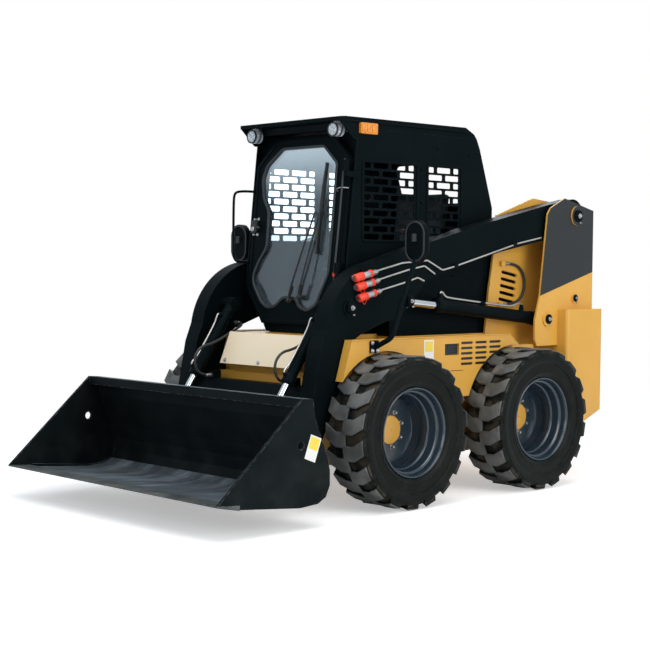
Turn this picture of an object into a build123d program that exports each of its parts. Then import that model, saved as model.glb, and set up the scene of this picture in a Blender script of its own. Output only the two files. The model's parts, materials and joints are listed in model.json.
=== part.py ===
import math
import os

from build123d import *

os.makedirs("parts", exist_ok=True)

# Skid steer loader in millimetres: bucket towards -Y, tail towards +Y, machine's left +X, ground at Z = 0.
# Stations along the machine are counted from the front axle, heights from the ground.

# overall stations
lip_reach = 1403.0                 # bucket lip ahead of the front axle
tail_reach = 1907.0                # bumpers' rear faces behind the front axle
wheelbase = 1090.0
front_axle_y = (lip_reach - tail_reach) / 2
stations = (0.0, wheelbase)        # the two axles

# wheels
tyre_radius = 415.0
tread_radius = 393.0               # carcass between the lugs
tyre_shoulder = 368.0
tyre_wall = 300.0                  # sidewall's widest reach inwards
tyre_facets = 18                   # one to a lug
lug_count = 18                     # lugs in each of the two rows
lug_root = 370.0
tyre_inner_x = 590.0
tyre_outer_x = 880.0
bead_radius = 235.0
rim_wall = 12.0
disc_x = 645.0
disc_thickness = 14.0
hub_radius = 75.0
hub_height = 34.0
stud_circle = 203.0
stud_count = 8
nut_radius = 13.0
nut_height = 20.0
axle_radius = 40.0
axle_housing_radius = 75.0
axle_housing_length = 90.0
running_fit = 0.05

# frame planes, distance from the centre plane
tub_half = 455.0                   # lower frame and tower inner plates, outer face
tower_sheet = 14.0
outer_plate_x = 612.0              # tower outer plates, outer face
fender_x = 640.0                   # fender box, outer face
fender_inner_x = 585.0
bumper_x = 690.0
deck_half = 320.0                  # narrow front of the frame under the cab

# frame heights
ground_clearance = 205.0
tub_top = 690.0
bay_floor = 470.0
deck_top = 905.0
shelf_bottom = 640.0
shelf_top = 835.0
fender_top = 908.0
fender_bottom = 560.0
bumper_top = 1046.0
arch_clearance = 12.0
hood_top = 1380.0
nose_foot = (-366.0, 744.0)        # sloping front of the frame, under the door
nose_head_y = -292.0
fender_vents = (791.0, 806.0)
fender_recess = (537.0, 832.0)
bay_front = 1200.0                 # engine bay, from its front wall
bay_rear = 1860.0                  # to the tub's rear end
bumper_front = wheelbase + tyre_radius + 40.0
tow_eye_y = 1881.0
tow_eye_radius = 15.0
tow_plate = (390.0, 420.0)         # towing plate's faces
tow_plate_width = 90.0

# lift arms
arm_inner_x = 472.0
arm_outer_x = 580.0
arm_mid_x = (arm_inner_x + arm_outer_x) / 2
pivot = (1725.0, 1625.0)           # arm pivot on the towers
pivot_pin_radius = 32.0
pivot_boss_radius = 105.0
bucket_pin = (-530.0, 290.0)       # bucket hinge at the legs' feet
bucket_pin_radius = 24.0
foot_radius = 60.0
moving_gap = 6.0
port_height = 10.0
beam_top = 655.0                   # cross member between the legs
arm_port = (-150.0, 962.0)         # hose ports, on the arm's inner face and on the tower's inner plate
tower_ports = ((1182.0, 1325.0), (1162.0, 1076.0))
tower_port_height = 22.0
tilt_hose_x = 343.0                # tilt hoses, inside the tilt cylinders

# lift cylinders
lift_base = (1439.0, 987.0)
lift_eye = (236.0, 1110.0)
lift_barrel_radius = 38.0
lift_rod_radius = 25.0
lift_barrel_length = 930.0
lift_stroke = 700.0
lift_pin_radius = 22.0
lift_eye_radius = 44.0
lift_eye_width = 54.0

# tilt cylinders
tilt_x = 397.0
tilt_base = (-225.0, 1078.0)
tilt_eye = (-640.0, 480.0)
tilt_barrel_radius = 32.0
tilt_rod_radius = 19.0
tilt_barrel_length = 490.0
tilt_stroke = 320.0
tilt_pin_radius = 18.0
tilt_eye_radius = 38.0
tilt_eye_width = 66.0

# bucket
bucket_half = 925.0
bucket_side = 16.0
bucket_sheet = 14.0
blade_depth = 133.0
side_hole = (-882.0, 423.0)
side_hole_radius = 21.0
ear_sheet = 16.0
coupler_plate = 20.0

# cab
cab_half = 420.0
cab_sheet = 8.0
sill = (-108.0, 1162.0)            # foot of the cab's front edge
head = (-14.0, 2062.0)             # top of the cab's front edge
cab_tail = 1132.0
footwell_depth = 250.0
footwell_half = 250.0
footwell_bottom = 916.0
front_ring = 30.0
door_thickness = 34.0
door_gap = 6.0
door_half = 402.0
hinge_out = 40.0                   # hinge line ahead of the door's face
hinge_x = 398.0
hinge_pin_radius = 6.0
hinge_knuckle_radius = 12.0
glass_thickness = 6.0
roof_front = -152.0
roof_top = 2120.0
visor_bottom = 2096.0
lamp_centre = (343.0, -128.0, 2050.0)
marker_centre = (60.0, 2062.0)
window_foot = 1466.0               # lowest row of the side windows' slots
slot_pitch = 44.0
slot_height = 32.0
slot_length = 120.0
slot_web = 22.0
lamp_radius = 38.0

# rear door
rear_door_sheet = 30.0
rear_door_half = 436.0
rear_door_bottom = 482.0
rear_hinge_x = 447.0
rear_hinge_radius = 7.0
rear_pin_radius = 4.0


def side_plane(x):
    """Plane across the machine at x: its first axis runs aft from the front axle, its second up."""
    return Plane(origin=(x, front_axle_y, 0), x_dir=(0, 1, 0), z_dir=(1, 0, 0))


def outline(x, points):
    with BuildSketch(side_plane(x)) as face:
        with BuildLine():
            Polyline(*points, close=True)
        make_face()
    return face.sketch


def disc(x, centre, radius, hole=0.0):
    with BuildSketch(side_plane(x)) as face:
        with Locations(centre):
            Circle(radius)
            if hole:
                Circle(hole, mode=Mode.SUBTRACT)
    return face.sketch


def write(name, part):
    part.label = name
    export_step(part, f"parts/{name}.step")


def write_pair(name, part):
    """Write a piece of the left side and its mirror image on the right."""
    write(f"{name}_left", part)
    with BuildPart() as other:
        mirror(part, about=Plane.YZ)
    write(f"{name}_right", other.part)


# frame
with BuildPart() as chassis:
    tub = [(-270, 480), (-215, ground_clearance + 10), (bumper_front - 65, ground_clearance),
           (bay_rear, 345), (bay_rear, bay_floor), (bay_front, bay_floor), (bay_front, tub_top), (-270, tub_top)]
    extrude(outline(-tub_half, tub), amount=2 * tub_half)
    deck = [(footwell_depth, tub_top), (bay_front, tub_top), (bay_front, deck_top), (footwell_depth, deck_top)]
    extrude(outline(-tub_half + tower_sheet, deck), amount=2 * (tub_half - tower_sheet))
    nose = [(-270, tub_top), nose_foot, (nose_head_y, footwell_bottom), (footwell_depth, footwell_bottom),
            (footwell_depth, tub_top)]
    extrude(outline(-deck_half, nose), amount=2 * deck_half)
    for station in stations:
        extrude(disc(-tub_half, (station, tyre_radius), axle_radius + running_fit),
                amount=2 * tub_half, mode=Mode.SUBTRACT)
    with BuildSketch(Plane.XY.offset(tow_plate[0])):
        with Locations((0, front_axle_y + (bay_rear + tail_reach) / 2 - 1)):
            Rectangle(tow_plate_width, tail_reach - bay_rear - 2)
        with Locations((0, front_axle_y + tow_eye_y)):
            Circle(tow_eye_radius, mode=Mode.SUBTRACT)
    extrude(amount=tow_plate[1] - tow_plate[0])
write("chassis", chassis.part)

with BuildPart() as axle_housings:
    for station in stations:
        for side in (-1, 1):
            extrude(disc(side * tub_half, (station, tyre_radius), axle_housing_radius, axle_radius + running_fit),
                    amount=side * axle_housing_length)
write("axle_housings", axle_housings.part)

with BuildPart() as front_plate:
    face = [nose_foot, (nose_foot[0] - 6, nose_foot[1] - 3), (nose_head_y - 5, footwell_bottom + 4),
            (nose_head_y, footwell_bottom)]
    extrude(outline(-deck_half - 12, face), amount=2 * (deck_half + 12))
write("front_plate", front_plate.part)

with BuildPart() as fender:
    box = [(-332, 674), (-261, fender_top), (1051, fender_top), (1166, 819), (1166, 700), (wheelbase, fender_bottom),
           (0, fender_bottom)]
    extrude(outline(fender_inner_x, box), amount=fender_x - fender_inner_x)
    for station in stations:
        extrude(disc(fender_inner_x, (station, tyre_radius), tyre_radius + arch_clearance),
                amount=fender_x - fender_inner_x, mode=Mode.SUBTRACT)
    shelf = [(-120, shelf_bottom), (1345, shelf_bottom), (1345, shelf_top), (-120, shelf_top)]
    extrude(outline(tub_half, shelf), amount=fender_inner_x - tub_half)
    with BuildSketch(side_plane(fender_x)):
        with Locations(fender_vents):
            with GridLocations(125, 30, 3, 5):
                SlotOverall(104, 15)
        with Locations(fender_recess):
            Rectangle(121, 66)
    extrude(amount=-14, mode=Mode.SUBTRACT)
write_pair("fender", fender.part)

with BuildPart() as tower:
    inner = [(1041, tub_top), (1041, 905), (1073, 1164), (1115, 1394), (1138, 1617), (1482, 1730), (1643, 1715),
             (1800, 1685), (1896, 1600), (1896, bumper_top), (bay_rear, bumper_top), (bay_rear, bay_floor),
             (bay_front, bay_floor), (bay_front, tub_top)]
    extrude(outline(tub_half - tower_sheet, inner), amount=tower_sheet)
    outer = [(1345, 824), (1322, 861), (1322, 983), (1367, 1129), (1433, 1629), (1462, 1667), (1600, 1730),
             (1896, 1662), (1896, bumper_top), (bumper_front, bumper_top), (bumper_front, 824)]
    extrude(outline(outer_plate_x - 12, outer), amount=12)
    web = [(1884, bumper_top), (1896, bumper_top), (1896, 1600), (1884, 1600)]
    extrude(outline(tub_half, web), amount=outer_plate_x - 12 - tub_half)
    for centre, radius in ((pivot, pivot_pin_radius), (lift_base, lift_pin_radius)):
        extrude(disc(tub_half, centre, radius), amount=outer_plate_x - tub_half + 14)
    for centre, radius in ((pivot, 62), (lift_base, 46), ((1708, 1113), 30)):
        extrude(disc(outer_plate_x, centre, radius), amount=10)
    for port in tower_ports:
        with BuildSketch(side_plane(tub_half)):
            with Locations(port):
                RectangleRounded(36, 30, 5)
        extrude(amount=tower_port_height)
    with BuildSketch(side_plane(tub_half)):
        for row in range(5):
            with Locations((1262 - 6 * row, 1262 - 41 * row)):
                SlotOverall(150, 20, rotation=-10)
    extrude(amount=-tower_sheet, mode=Mode.SUBTRACT)
write_pair("tower", tower.part)

with BuildPart() as bumper:
    block = [(bumper_front, 345), (1728, 345), (tail_reach, 416), (tail_reach, bumper_top),
             (bumper_front, bumper_top)]
    extrude(outline(tub_half, block), amount=bumper_x - tub_half)
    fillet(bumper.edges().filter_by(Axis.Z).group_by(Axis.X)[-1], 24)
write_pair("bumper", bumper.part)

with BuildPart() as hood:
    cover = [(bay_front, hood_top), (1420, hood_top), (bay_rear + 20, 1180), (bay_rear + 20, bumper_top + 8),
             (bay_front, bumper_top + 8)]
    hollow = [(bay_front + 12, hood_top - 12), (1417, hood_top - 12), (bay_rear + 8, 1172), (bay_rear + 8, bumper_top),
              (bay_front + 12, bumper_top)]
    extrude(outline(-tub_half + tower_sheet, cover), amount=2 * (tub_half - tower_sheet))
    extrude(outline(-tub_half + tower_sheet + 12, hollow), amount=2 * (tub_half - tower_sheet - 12),
            mode=Mode.SUBTRACT)
    with BuildSketch(Plane.XY.offset(hood_top)):
        with Locations((0, front_axle_y + 1310)):
            with GridLocations(0, 40, 1, 4):
                SlotOverall(560, 18)
    extrude(amount=-20, mode=Mode.SUBTRACT)
write("hood", hood.part)

with BuildPart() as engine:
    with BuildSketch(Plane.XY.offset(bay_floor)):
        with Locations((0, front_axle_y + 1490)):
            Rectangle(620, 500)
    extrude(amount=480)
    fillet(engine.edges().filter_by(Axis.Z), 30)
write("engine", engine.part)

# cab
lean = math.hypot(head[0] - sill[0], head[1] - sill[1])
front = Plane(origin=(0, front_axle_y + sill[0], sill[1]), x_dir=(1, 0, 0),
              z_dir=(0, sill[1] - head[1], head[0] - sill[0]))
lean_ratio = (head[0] - sill[0]) / (head[1] - sill[1])
taper_foot = (footwell_bottom - sill[1]) * lean / (head[1] - sill[1])
cab_roof = head[1]

with BuildPart() as cab_side:
    wall = [sill, head, (985, cab_roof), (1014, 2003), (cab_tail, 1660), (cab_tail, deck_top),
            (footwell_depth, deck_top), (footwell_depth, sill[1])]
    extrude(outline(cab_half - cab_sheet, wall), amount=cab_sheet)
    with BuildSketch(side_plane(cab_half)):
        for window_front, window_slots in ((40, 3), (565, 2)):
            pitch = slot_length + slot_web
            for row in range(10):
                height = window_foot + slot_pitch * row
                if row % 2:
                    with Locations((window_front + slot_length / 4 - slot_web / 4, height),
                                   (window_front + window_slots * pitch - slot_length / 4 - 3 * slot_web / 4, height)):
                        RectangleRounded((slot_length - slot_web) / 2, slot_height, 8)
                    for place in range(window_slots - 1):
                        with Locations((window_front + (place + 1) * pitch - slot_web / 2, height)):
                            RectangleRounded(slot_length, slot_height, 8)
                else:
                    for place in range(window_slots):
                        with Locations((window_front + place * pitch + slot_length / 2, height)):
                            RectangleRounded(slot_length, slot_height, 8)
    extrude(amount=-cab_sheet, mode=Mode.SUBTRACT)
write_pair("cab_side", cab_side.part)

with BuildPart() as cab_rear:
    strip = [(985, cab_roof), (1014, 2003), (cab_tail, 1660), (cab_tail, deck_top),
             (cab_tail - cab_sheet, deck_top), (cab_tail - cab_sheet, 1658), (1006, 2000), (977, cab_roof)]
    extrude(outline(-cab_half + cab_sheet, strip), amount=2 * (cab_half - cab_sheet))
    with BuildSketch(Plane(origin=(0, front_axle_y, 0), x_dir=(1, 0, 0), z_dir=(0, -1, 0))):
        with Locations((0, 1815)):
            RectangleRounded(600, 240, 40)
    extrude(amount=-cab_tail - 50, mode=Mode.SUBTRACT)
write("cab_rear", cab_rear.part)

wall_inside = cab_half - cab_sheet
ring_back = -door_thickness - door_gap
with BuildPart() as cab_floor:
    with BuildSketch(Plane(origin=(0, front_axle_y + footwell_depth, 0), x_dir=(1, 0, 0), z_dir=(0, -1, 0))):
        with BuildLine():
            Polyline((-cab_half, sill[1]), (-footwell_half, footwell_bottom), (footwell_half, footwell_bottom),
                     (cab_half, sill[1]), (cab_half - cab_sheet, sill[1]),
                     (footwell_half - 5, footwell_bottom + cab_sheet),
                     (5 - footwell_half, footwell_bottom + cab_sheet), (cab_sheet - cab_half, sill[1]), close=True)
        make_face()
    extrude(amount=footwell_depth - sill[0])
    split(bisect_by=front.offset(ring_back - front_ring), keep=Keep.BOTTOM)
    with BuildSketch(Plane(origin=(0, front_axle_y + footwell_depth, 0), x_dir=(1, 0, 0), z_dir=(0, -1, 0))):
        with BuildLine():
            Polyline((wall_inside, deck_top), (wall_inside, sill[1]), (footwell_half - 5, footwell_bottom + cab_sheet),
                     (5 - footwell_half, footwell_bottom + cab_sheet), (-wall_inside, sill[1]),
                     (-wall_inside, deck_top), close=True)
        make_face()
    extrude(amount=-cab_sheet)
    with BuildSketch(Plane.XY.offset(deck_top)):
        with Locations((0, front_axle_y + (footwell_depth + cab_tail) / 2)):
            Rectangle(2 * (cab_half - cab_sheet), cab_tail - footwell_depth - 2 * cab_sheet)
    extrude(amount=cab_sheet)
write("cab_floor", cab_floor.part)

with BuildPart() as cab_front:
    with BuildSketch(front.offset(ring_back - front_ring)):
        with BuildLine():
            Polyline((cab_half - cab_sheet, 0), (cab_half - cab_sheet, lean - 8), (cab_sheet - cab_half, lean - 8),
                     (cab_sheet - cab_half, 0), (-footwell_half, taper_foot + 8), (footwell_half, taper_foot + 8),
                     close=True)
        make_face()
        with BuildLine():
            Polyline((360, 30), (360, 700), (250, 838), (-250, 838), (-360, 700), (-360, 30), (-220, -150),
                     (220, -150), close=True)
        make_face(mode=Mode.SUBTRACT)
    extrude(amount=front_ring)
write("cab_front", cab_front.part)

with BuildPart() as roof:
    slab = [(roof_front, visor_bottom), (roof_front, roof_top - 4), (roof_front + 40, roof_top), (884, roof_top + 6),
            (960, 2090), (985, cab_roof), head, (-36, visor_bottom)]
    extrude(outline(-cab_half, slab), amount=2 * cab_half)
    gusset = [(roof_front + 4, visor_bottom), (-36, visor_bottom), head, (head[0] - 60 * lean_ratio, head[1] - 60),
              (-44, head[1] - 60)]
    for side in (-1, 1):
        extrude(outline(side * cab_half, gusset), amount=-side * cab_sheet)
write("roof", roof.part)

with BuildPart() as work_lamps:
    for side in (-1, 1):
        lamp_face = Plane(origin=(side * lamp_centre[0], front_axle_y + lamp_centre[1], lamp_centre[2]),
                          x_dir=(1, 0, 0), z_dir=(0, 1, 0))
        with BuildSketch(lamp_face):
            Circle(lamp_radius)
        extrude(amount=52)
        with BuildSketch(Plane.XY.offset(lamp_centre[2])):
            with Locations((side * lamp_centre[0], front_axle_y + lamp_centre[1] + 28)):
                Rectangle(24, 30)
        extrude(amount=visor_bottom - lamp_centre[2])
write("work_lamps", work_lamps.part)

with BuildPart() as marker_lamps:
    for side in (-1, 1):
        with BuildSketch(side_plane(side * cab_half)):
            with Locations(marker_centre):
                RectangleRounded(130, 60, 8)
        extrude(amount=side * 18)
write("marker_lamps", marker_lamps.part)

with BuildPart() as seat:
    cushion = [(430, deck_top + 260), (900, deck_top + 230), (900, deck_top + 330), (430, deck_top + 360)]
    extrude(outline(-235, cushion), amount=470)
    rest = [(850, deck_top + 320), (960, deck_top + 330), (1020, deck_top + 860), (930, deck_top + 870)]
    extrude(outline(-225, rest), amount=450)
    base = [(500, deck_top + cab_sheet), (880, deck_top + cab_sheet), (880, deck_top + 240), (500, deck_top + 262)]
    extrude(outline(-180, base), amount=360)
write("seat", seat.part)

with BuildPart() as controls:
    for side in (-1, 1):
        stand = [(430, deck_top + cab_sheet), (760, deck_top + cab_sheet), (760, deck_top + 420), (430, deck_top + 380)]
        extrude(outline(side * 270, stand), amount=side * 70)
        with BuildSketch(Plane.XY.offset(deck_top + 370)):
            with Locations((side * 305, front_axle_y + 480)):
                Circle(12)
        extrude(amount=170)
        with BuildSketch(Plane.XY.offset(deck_top + 520)):
            with Locations((side * 305, front_axle_y + 480)):
                Circle(24)
        extrude(amount=90)
write("controls", controls.part)

# front door, drawn on the cab's leaning front: first number across, second up from the sill
glass_outline = [(285, 100), (284, 712), (164, 818), (-184, 818), (-311, 721), (-342, 642), (-320, 529), (-267, 453),
                 (-260, 250), (-324, 163), (-361, 82), (-348, 26), (-264, -77), (-205, -106), (-133, -92),
                 (-75, -42), (24, -46), (57, -93), (130, -113), (204, -78)]
hinge_feet = (90.0, 660.0)         # door hinges' lower ends, up from the sill

with BuildPart() as door_frame:
    with BuildSketch(front.offset(-door_thickness)):
        with BuildLine():
            Polyline((door_half, 0), (door_half, 725), (250, 872), (-250, 872), (-door_half, 725), (-door_half, 0),
                     (-footwell_half, -195), (footwell_half, -195), close=True)
        make_face()
        with BuildLine():
            Polyline(*glass_outline, close=True)
        make_face(mode=Mode.SUBTRACT)
    extrude(amount=door_thickness)
    for height in hinge_feet:
        with BuildSketch(front.offset(0)):
            with Locations((hinge_x - 20, height + 34)):
                Rectangle(30, 60)
        extrude(amount=hinge_out)
        with BuildSketch(Plane(origin=front.from_local_coords((hinge_x, height + 4, hinge_out)),
                               x_dir=(1, 0, 0), z_dir=front.y_dir)):
            Circle(hinge_knuckle_radius)
        extrude(amount=60)
    for height in hinge_feet:
        with BuildSketch(Plane(origin=front.from_local_coords((hinge_x, height, hinge_out)),
                               x_dir=(1, 0, 0), z_dir=front.y_dir)):
            Circle(hinge_pin_radius + running_fit)
        extrude(amount=70, mode=Mode.SUBTRACT)
write("door_frame", door_frame.part)

with BuildPart() as door_glass:
    with BuildSketch(front.offset(-door_thickness / 2)):
        with BuildLine():
            Polyline(*glass_outline, close=True)
        make_face()
    extrude(amount=glass_thickness)
write("door_glass", door_glass.part)

with BuildPart() as cab_hinges:
    for height in hinge_feet:
        with BuildSketch(front.offset(-30)):
            with Locations((cab_half + 4, height - 15)):
                Rectangle(8, 30)
        extrude(amount=hinge_out + 42)
        with BuildSketch(front.offset(hinge_out - 12)):
            with Locations(((hinge_x + cab_half) / 2, height - 15)):
                Rectangle(cab_half - hinge_x + 16, 30)
        extrude(amount=24)
        with BuildSketch(Plane(origin=front.from_local_coords((hinge_x, height - 15, hinge_out)),
                               x_dir=(1, 0, 0), z_dir=front.y_dir)):
            Circle(hinge_pin_radius)
        extrude(amount=80)
write("cab_hinges", cab_hinges.part)

# rear door
rear_hinge_heights = (rear_door_bottom + 90, bumper_top - 150)
rear_hinge_line = (-rear_hinge_x, front_axle_y + bay_rear + 6 + rear_door_sheet + 3)

with BuildPart() as rear_hinges:
    for height in rear_hinge_heights:
        with BuildSketch(Plane.XY.offset(height - 24)):
            with Locations((-(rear_hinge_x + tub_half) / 2, rear_hinge_line[1])):
                Rectangle(tub_half - rear_hinge_x, 2 * rear_hinge_radius)
            with Locations(rear_hinge_line):
                Circle(rear_hinge_radius)
        extrude(amount=22)
        with BuildSketch(Plane.XY.offset(height - 24)):
            with Locations(rear_hinge_line):
                Circle(rear_pin_radius)
        extrude(amount=60)
write("rear_hinges", rear_hinges.part)

with BuildPart() as rear_door:
    panel = [(bay_rear + 6, rear_door_bottom), (bay_rear + 6 + rear_door_sheet, rear_door_bottom),
             (bay_rear + 6 + rear_door_sheet, bumper_top - 10), (bay_rear + 6, bumper_top - 10)]
    extrude(outline(-rear_door_half, panel), amount=2 * rear_door_half)
    with BuildSketch(Plane(origin=(0, front_axle_y + bay_rear + 6 + rear_door_sheet, 760), x_dir=(1, 0, 0),
                           z_dir=(0, -1, 0))):
        with GridLocations(360, 44, 2, 8):
            SlotOverall(300, 18)
    extrude(amount=rear_door_sheet, mode=Mode.SUBTRACT)
    for height in rear_hinge_heights:
        with BuildSketch(Plane.XY.offset(height)):
            with Locations(rear_hinge_line):
                Circle(rear_hinge_radius)
            with Locations((-(rear_hinge_x + rear_door_half) / 2, rear_hinge_line[1] - 6)):
                Rectangle(rear_hinge_x - rear_door_half + 6, 10)
        extrude(amount=40)
        with BuildSketch(Plane.XY.offset(height)):
            with Locations(rear_hinge_line):
                Circle(rear_pin_radius + running_fit)
        extrude(amount=40, mode=Mode.SUBTRACT)
write("rear_door", rear_door.part)

# lift arms
with BuildPart() as arm:
    with BuildSketch(side_plane(arm_inner_x)):
        with BuildLine():
            top = Polyline((1725, 1730), (1473, 1686), (836, 1547), (243, 1399), (-33, 1320))
            knee = ThreePointArc(top @ 1, (-262, 1205), (-388, 964))
            leg = Polyline(knee @ 1, (-430, 860), (-481, 599), (-588, 305), (bucket_pin[0], 230), (-468, 270),
                           (-303, 615), (-253, 736), (-202, 895), (-142, 931), (50, 997), (168, 1017), (288, 1132),
                           (385, 1227), (578, 1284), (1021, 1392), (1448, 1471), (1725, 1520))
            Line(leg @ 1, top @ 0)
        make_face()
        with Locations(pivot):
            Circle(pivot_boss_radius)
        with Locations(bucket_pin):
            Circle(foot_radius)
    extrude(amount=arm_outer_x - arm_inner_x)
    extrude(disc(arm_inner_x, pivot, pivot_pin_radius + running_fit), amount=arm_outer_x - arm_inner_x,
            mode=Mode.SUBTRACT)
    extrude(disc(arm_inner_x, bucket_pin, bucket_pin_radius + running_fit), amount=arm_outer_x - arm_inner_x,
            mode=Mode.SUBTRACT)
    slot = [(lift_eye[0] - 100, 950), (lift_eye[0] - 100, lift_eye[1] + 90), (lift_eye[0] - 60, lift_eye[1] + 122),
            (lift_eye[0] + 90, lift_eye[1] + 122), (470, 1225), (470, 950)]
    extrude(outline(arm_mid_x - lift_eye_width / 2 - 3, slot), amount=lift_eye_width + 6, mode=Mode.SUBTRACT)
    for centre, radius in ((lift_eye, 36), (tilt_base, 46)):
        extrude(disc(arm_outer_x, centre, radius), amount=10)
        extrude(disc(arm_outer_x + 10, centre, radius / 2), amount=8)
    with BuildSketch(side_plane(arm_inner_x)):
        with Locations(arm_port):
            RectangleRounded(34, 30, 5)
    extrude(amount=-port_height)
    extrude(disc(arm_inner_x, tilt_base, 30), amount=-(arm_inner_x - tilt_x - tilt_eye_width / 2 - 3))
    extrude(disc(arm_inner_x, tilt_base, tilt_pin_radius), amount=-(arm_inner_x - tilt_x + tilt_eye_width / 2 + 3))
write_pair("arm", arm.part)

with BuildPart() as arm_cross:
    beam = [(-455, 545), (-355, 545), (-355, beam_top), (-420, beam_top), (-455, 590)]
    extrude(outline(-arm_inner_x, beam), amount=2 * arm_inner_x)
    manifold = [(-425, beam_top), (-375, beam_top), (-375, beam_top + 42), (-425, beam_top + 42)]
    for side in (-1, 1):
        extrude(outline(side * (tilt_hose_x - 26), manifold), amount=side * 46)
write("arm_cross", arm_cross.part)


# hydraulic pipes on the left arm: each row is a pipe's bends, its first run starting in a quick coupler
pipe_x = arm_outer_x + 8.0
pipe_radius = 5.0
coupler_radius = 15.0
coupler_length = 92.0
pipe_routes = [
    [(-211, 1236), (-52, 1271), (175, 1321), (379, 1337), (505, 1283), (600, 1302), (1182, 1446), (1400, 1484)],
    [(-195, 1187), (-43, 1222), (216, 1282), (354, 1306), (440, 1262)],
    [(-180, 1128), (-35, 1163), (200, 1214), (300, 1240), (352, 1222)]]

with BuildPart() as arm_pipes:
    for route in pipe_routes:
        points = [(pipe_x, front_axle_y + y, z) for y, z in route]
        with BuildLine() as run:
            FilletPolyline(*points, radius=30)
        with BuildSketch(Plane(origin=run.line @ 0, z_dir=run.line % 0)):
            Circle(pipe_radius)
        sweep(path=run.line)
        with BuildSketch(Plane(origin=run.line @ 0 + Vector(coupler_radius - 7, 0, 0), z_dir=run.line % 0)):
            Circle(coupler_radius)
        extrude(amount=coupler_length)
    rack = [(-125, 1115), (-75, 1115), (-95, 1285), (-145, 1285)]
    extrude(outline(arm_outer_x, rack), amount=14)
    for clamp in ((620, 1307), (1150, 1437)):
        with BuildSketch(side_plane(arm_outer_x)):
            with Locations(clamp):
                RectangleRounded(34, 26, 4)
        extrude(amount=13)
write("arm_pipes", arm_pipes.part)


def hose(name, route, radius):
    """A hose along straight runs joined by arcs as large as the runs allow; prints its length and arc radii."""
    runs = [Vector(*end) - Vector(*start) for start, end in zip(route, route[1:])]
    arcs = [0.45 * min(before.length, after.length) / math.tan(math.radians(before.get_angle(after)) / 2)
            for before, after in zip(runs, runs[1:])]
    with BuildPart() as tube:
        with BuildLine() as line:
            FilletPolyline(*route, radius=arcs)
        with BuildSketch(Plane(origin=line.line @ 0, z_dir=line.line % 0)):
            Circle(radius)
        sweep(path=line.line)
    length = sum(edge.length for edge in line.line.edges())
    print(name, "length", round(length), "arcs", [round(arc) for arc in arcs],
          "volume to section times length", round(tube.part.volume / (math.pi * radius ** 2 * length), 4))
    write_pair(name, tube.part)


tower_hose_x = tub_half + 12.0
upper_port, lower_port = tower_ports
tilt_hose = [(arm_inner_x - port_height, *arm_port), (404, *arm_port), (362, -186, 949), (349, -262, 919),
             (347, -345, 880), (346, -425, 850), (345, -495, 840), (344, -544, 791), (tilt_hose_x, -544, 721),
             (tilt_hose_x, -495, beam_top + 17), (tilt_hose_x, -425, beam_top + 17)]
tower_hose = [(tower_hose_x, upper_port[0] + 18, upper_port[1]), (tower_hose_x, 1285, upper_port[1]),
              (tower_hose_x, 1360, 1295), (tower_hose_x, 1398, 1228), (tower_hose_x, 1392, 1150),
              (tower_hose_x, 1340, 1094), (tower_hose_x, 1262, lower_port[1]),
              (tower_hose_x, lower_port[0] + 18, lower_port[1])]
hose("tilt_hose", [(x, front_axle_y + y, z) for x, y, z in tilt_hose], 7.5)
hose("tower_hose", [(x, front_axle_y + y, z) for x, y, z in tower_hose], 8.0)


def along(base, eye, x):
    """Plane square to a cylinder's line, at its base pin, looking towards its eye."""
    return Plane(origin=(x, front_axle_y + base[0], base[1]), x_dir=(1, 0, 0),
                 z_dir=(0, eye[0] - base[0], eye[1] - base[1]))


def cylinder(base, eye, x, barrel_radius, barrel_length, rod_radius, stroke, eye_radius, eye_width, pin_radius):
    """A hydraulic cylinder's two solids: its barrel with the base eye, and its rod with the rod eye."""
    reach = math.hypot(eye[0] - base[0], eye[1] - base[1])
    line = along(base, eye, x)
    rod_start = barrel_length - stroke - 45
    with BuildPart() as barrel:
        with BuildSketch(line.offset(eye_radius * 0.6)):
            Circle(barrel_radius)
        extrude(amount=barrel_length - eye_radius * 0.6)
        with BuildSketch(line.offset(barrel_length - 40)):
            Circle(barrel_radius + 4)
        extrude(amount=40)
        extrude(disc(x - eye_width / 2, base, eye_radius), amount=eye_width)
        with BuildSketch(line.offset(rod_start - 85)):
            Circle(rod_radius + running_fit)
        extrude(amount=barrel_length, mode=Mode.SUBTRACT)
        extrude(disc(x - eye_width / 2, base, pin_radius + running_fit), amount=eye_width, mode=Mode.SUBTRACT)
    with BuildPart() as rod:
        with BuildSketch(line.offset(rod_start)):
            Circle(rod_radius)
        extrude(amount=reach - rod_start)
        extrude(disc(x - eye_width / 2, eye, eye_radius), amount=eye_width)
    return barrel.part, rod.part


lift_barrel, lift_rod = cylinder(lift_base, lift_eye, arm_mid_x, lift_barrel_radius, lift_barrel_length,
                                 lift_rod_radius, lift_stroke, lift_eye_radius, lift_eye_width, lift_pin_radius)
write_pair("lift_barrel", lift_barrel)
write_pair("lift_rod", lift_rod)
tilt_barrel, tilt_rod = cylinder(tilt_base, tilt_eye, tilt_x, tilt_barrel_radius, tilt_barrel_length,
                                 tilt_rod_radius, tilt_stroke, tilt_eye_radius, tilt_eye_width, tilt_pin_radius)
write_pair("tilt_barrel", tilt_barrel)
write_pair("tilt_rod", tilt_rod)

# bucket and its coupler
mate_foot = (-650, 215)
mate_head = (-752, 560)
mate_rise = math.hypot(mate_head[0] - mate_foot[0], mate_head[1] - mate_foot[1])
mate_aft = ((mate_head[1] - mate_foot[1]) / mate_rise * coupler_plate,
            (mate_foot[0] - mate_head[0]) / mate_rise * coupler_plate)

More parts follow.
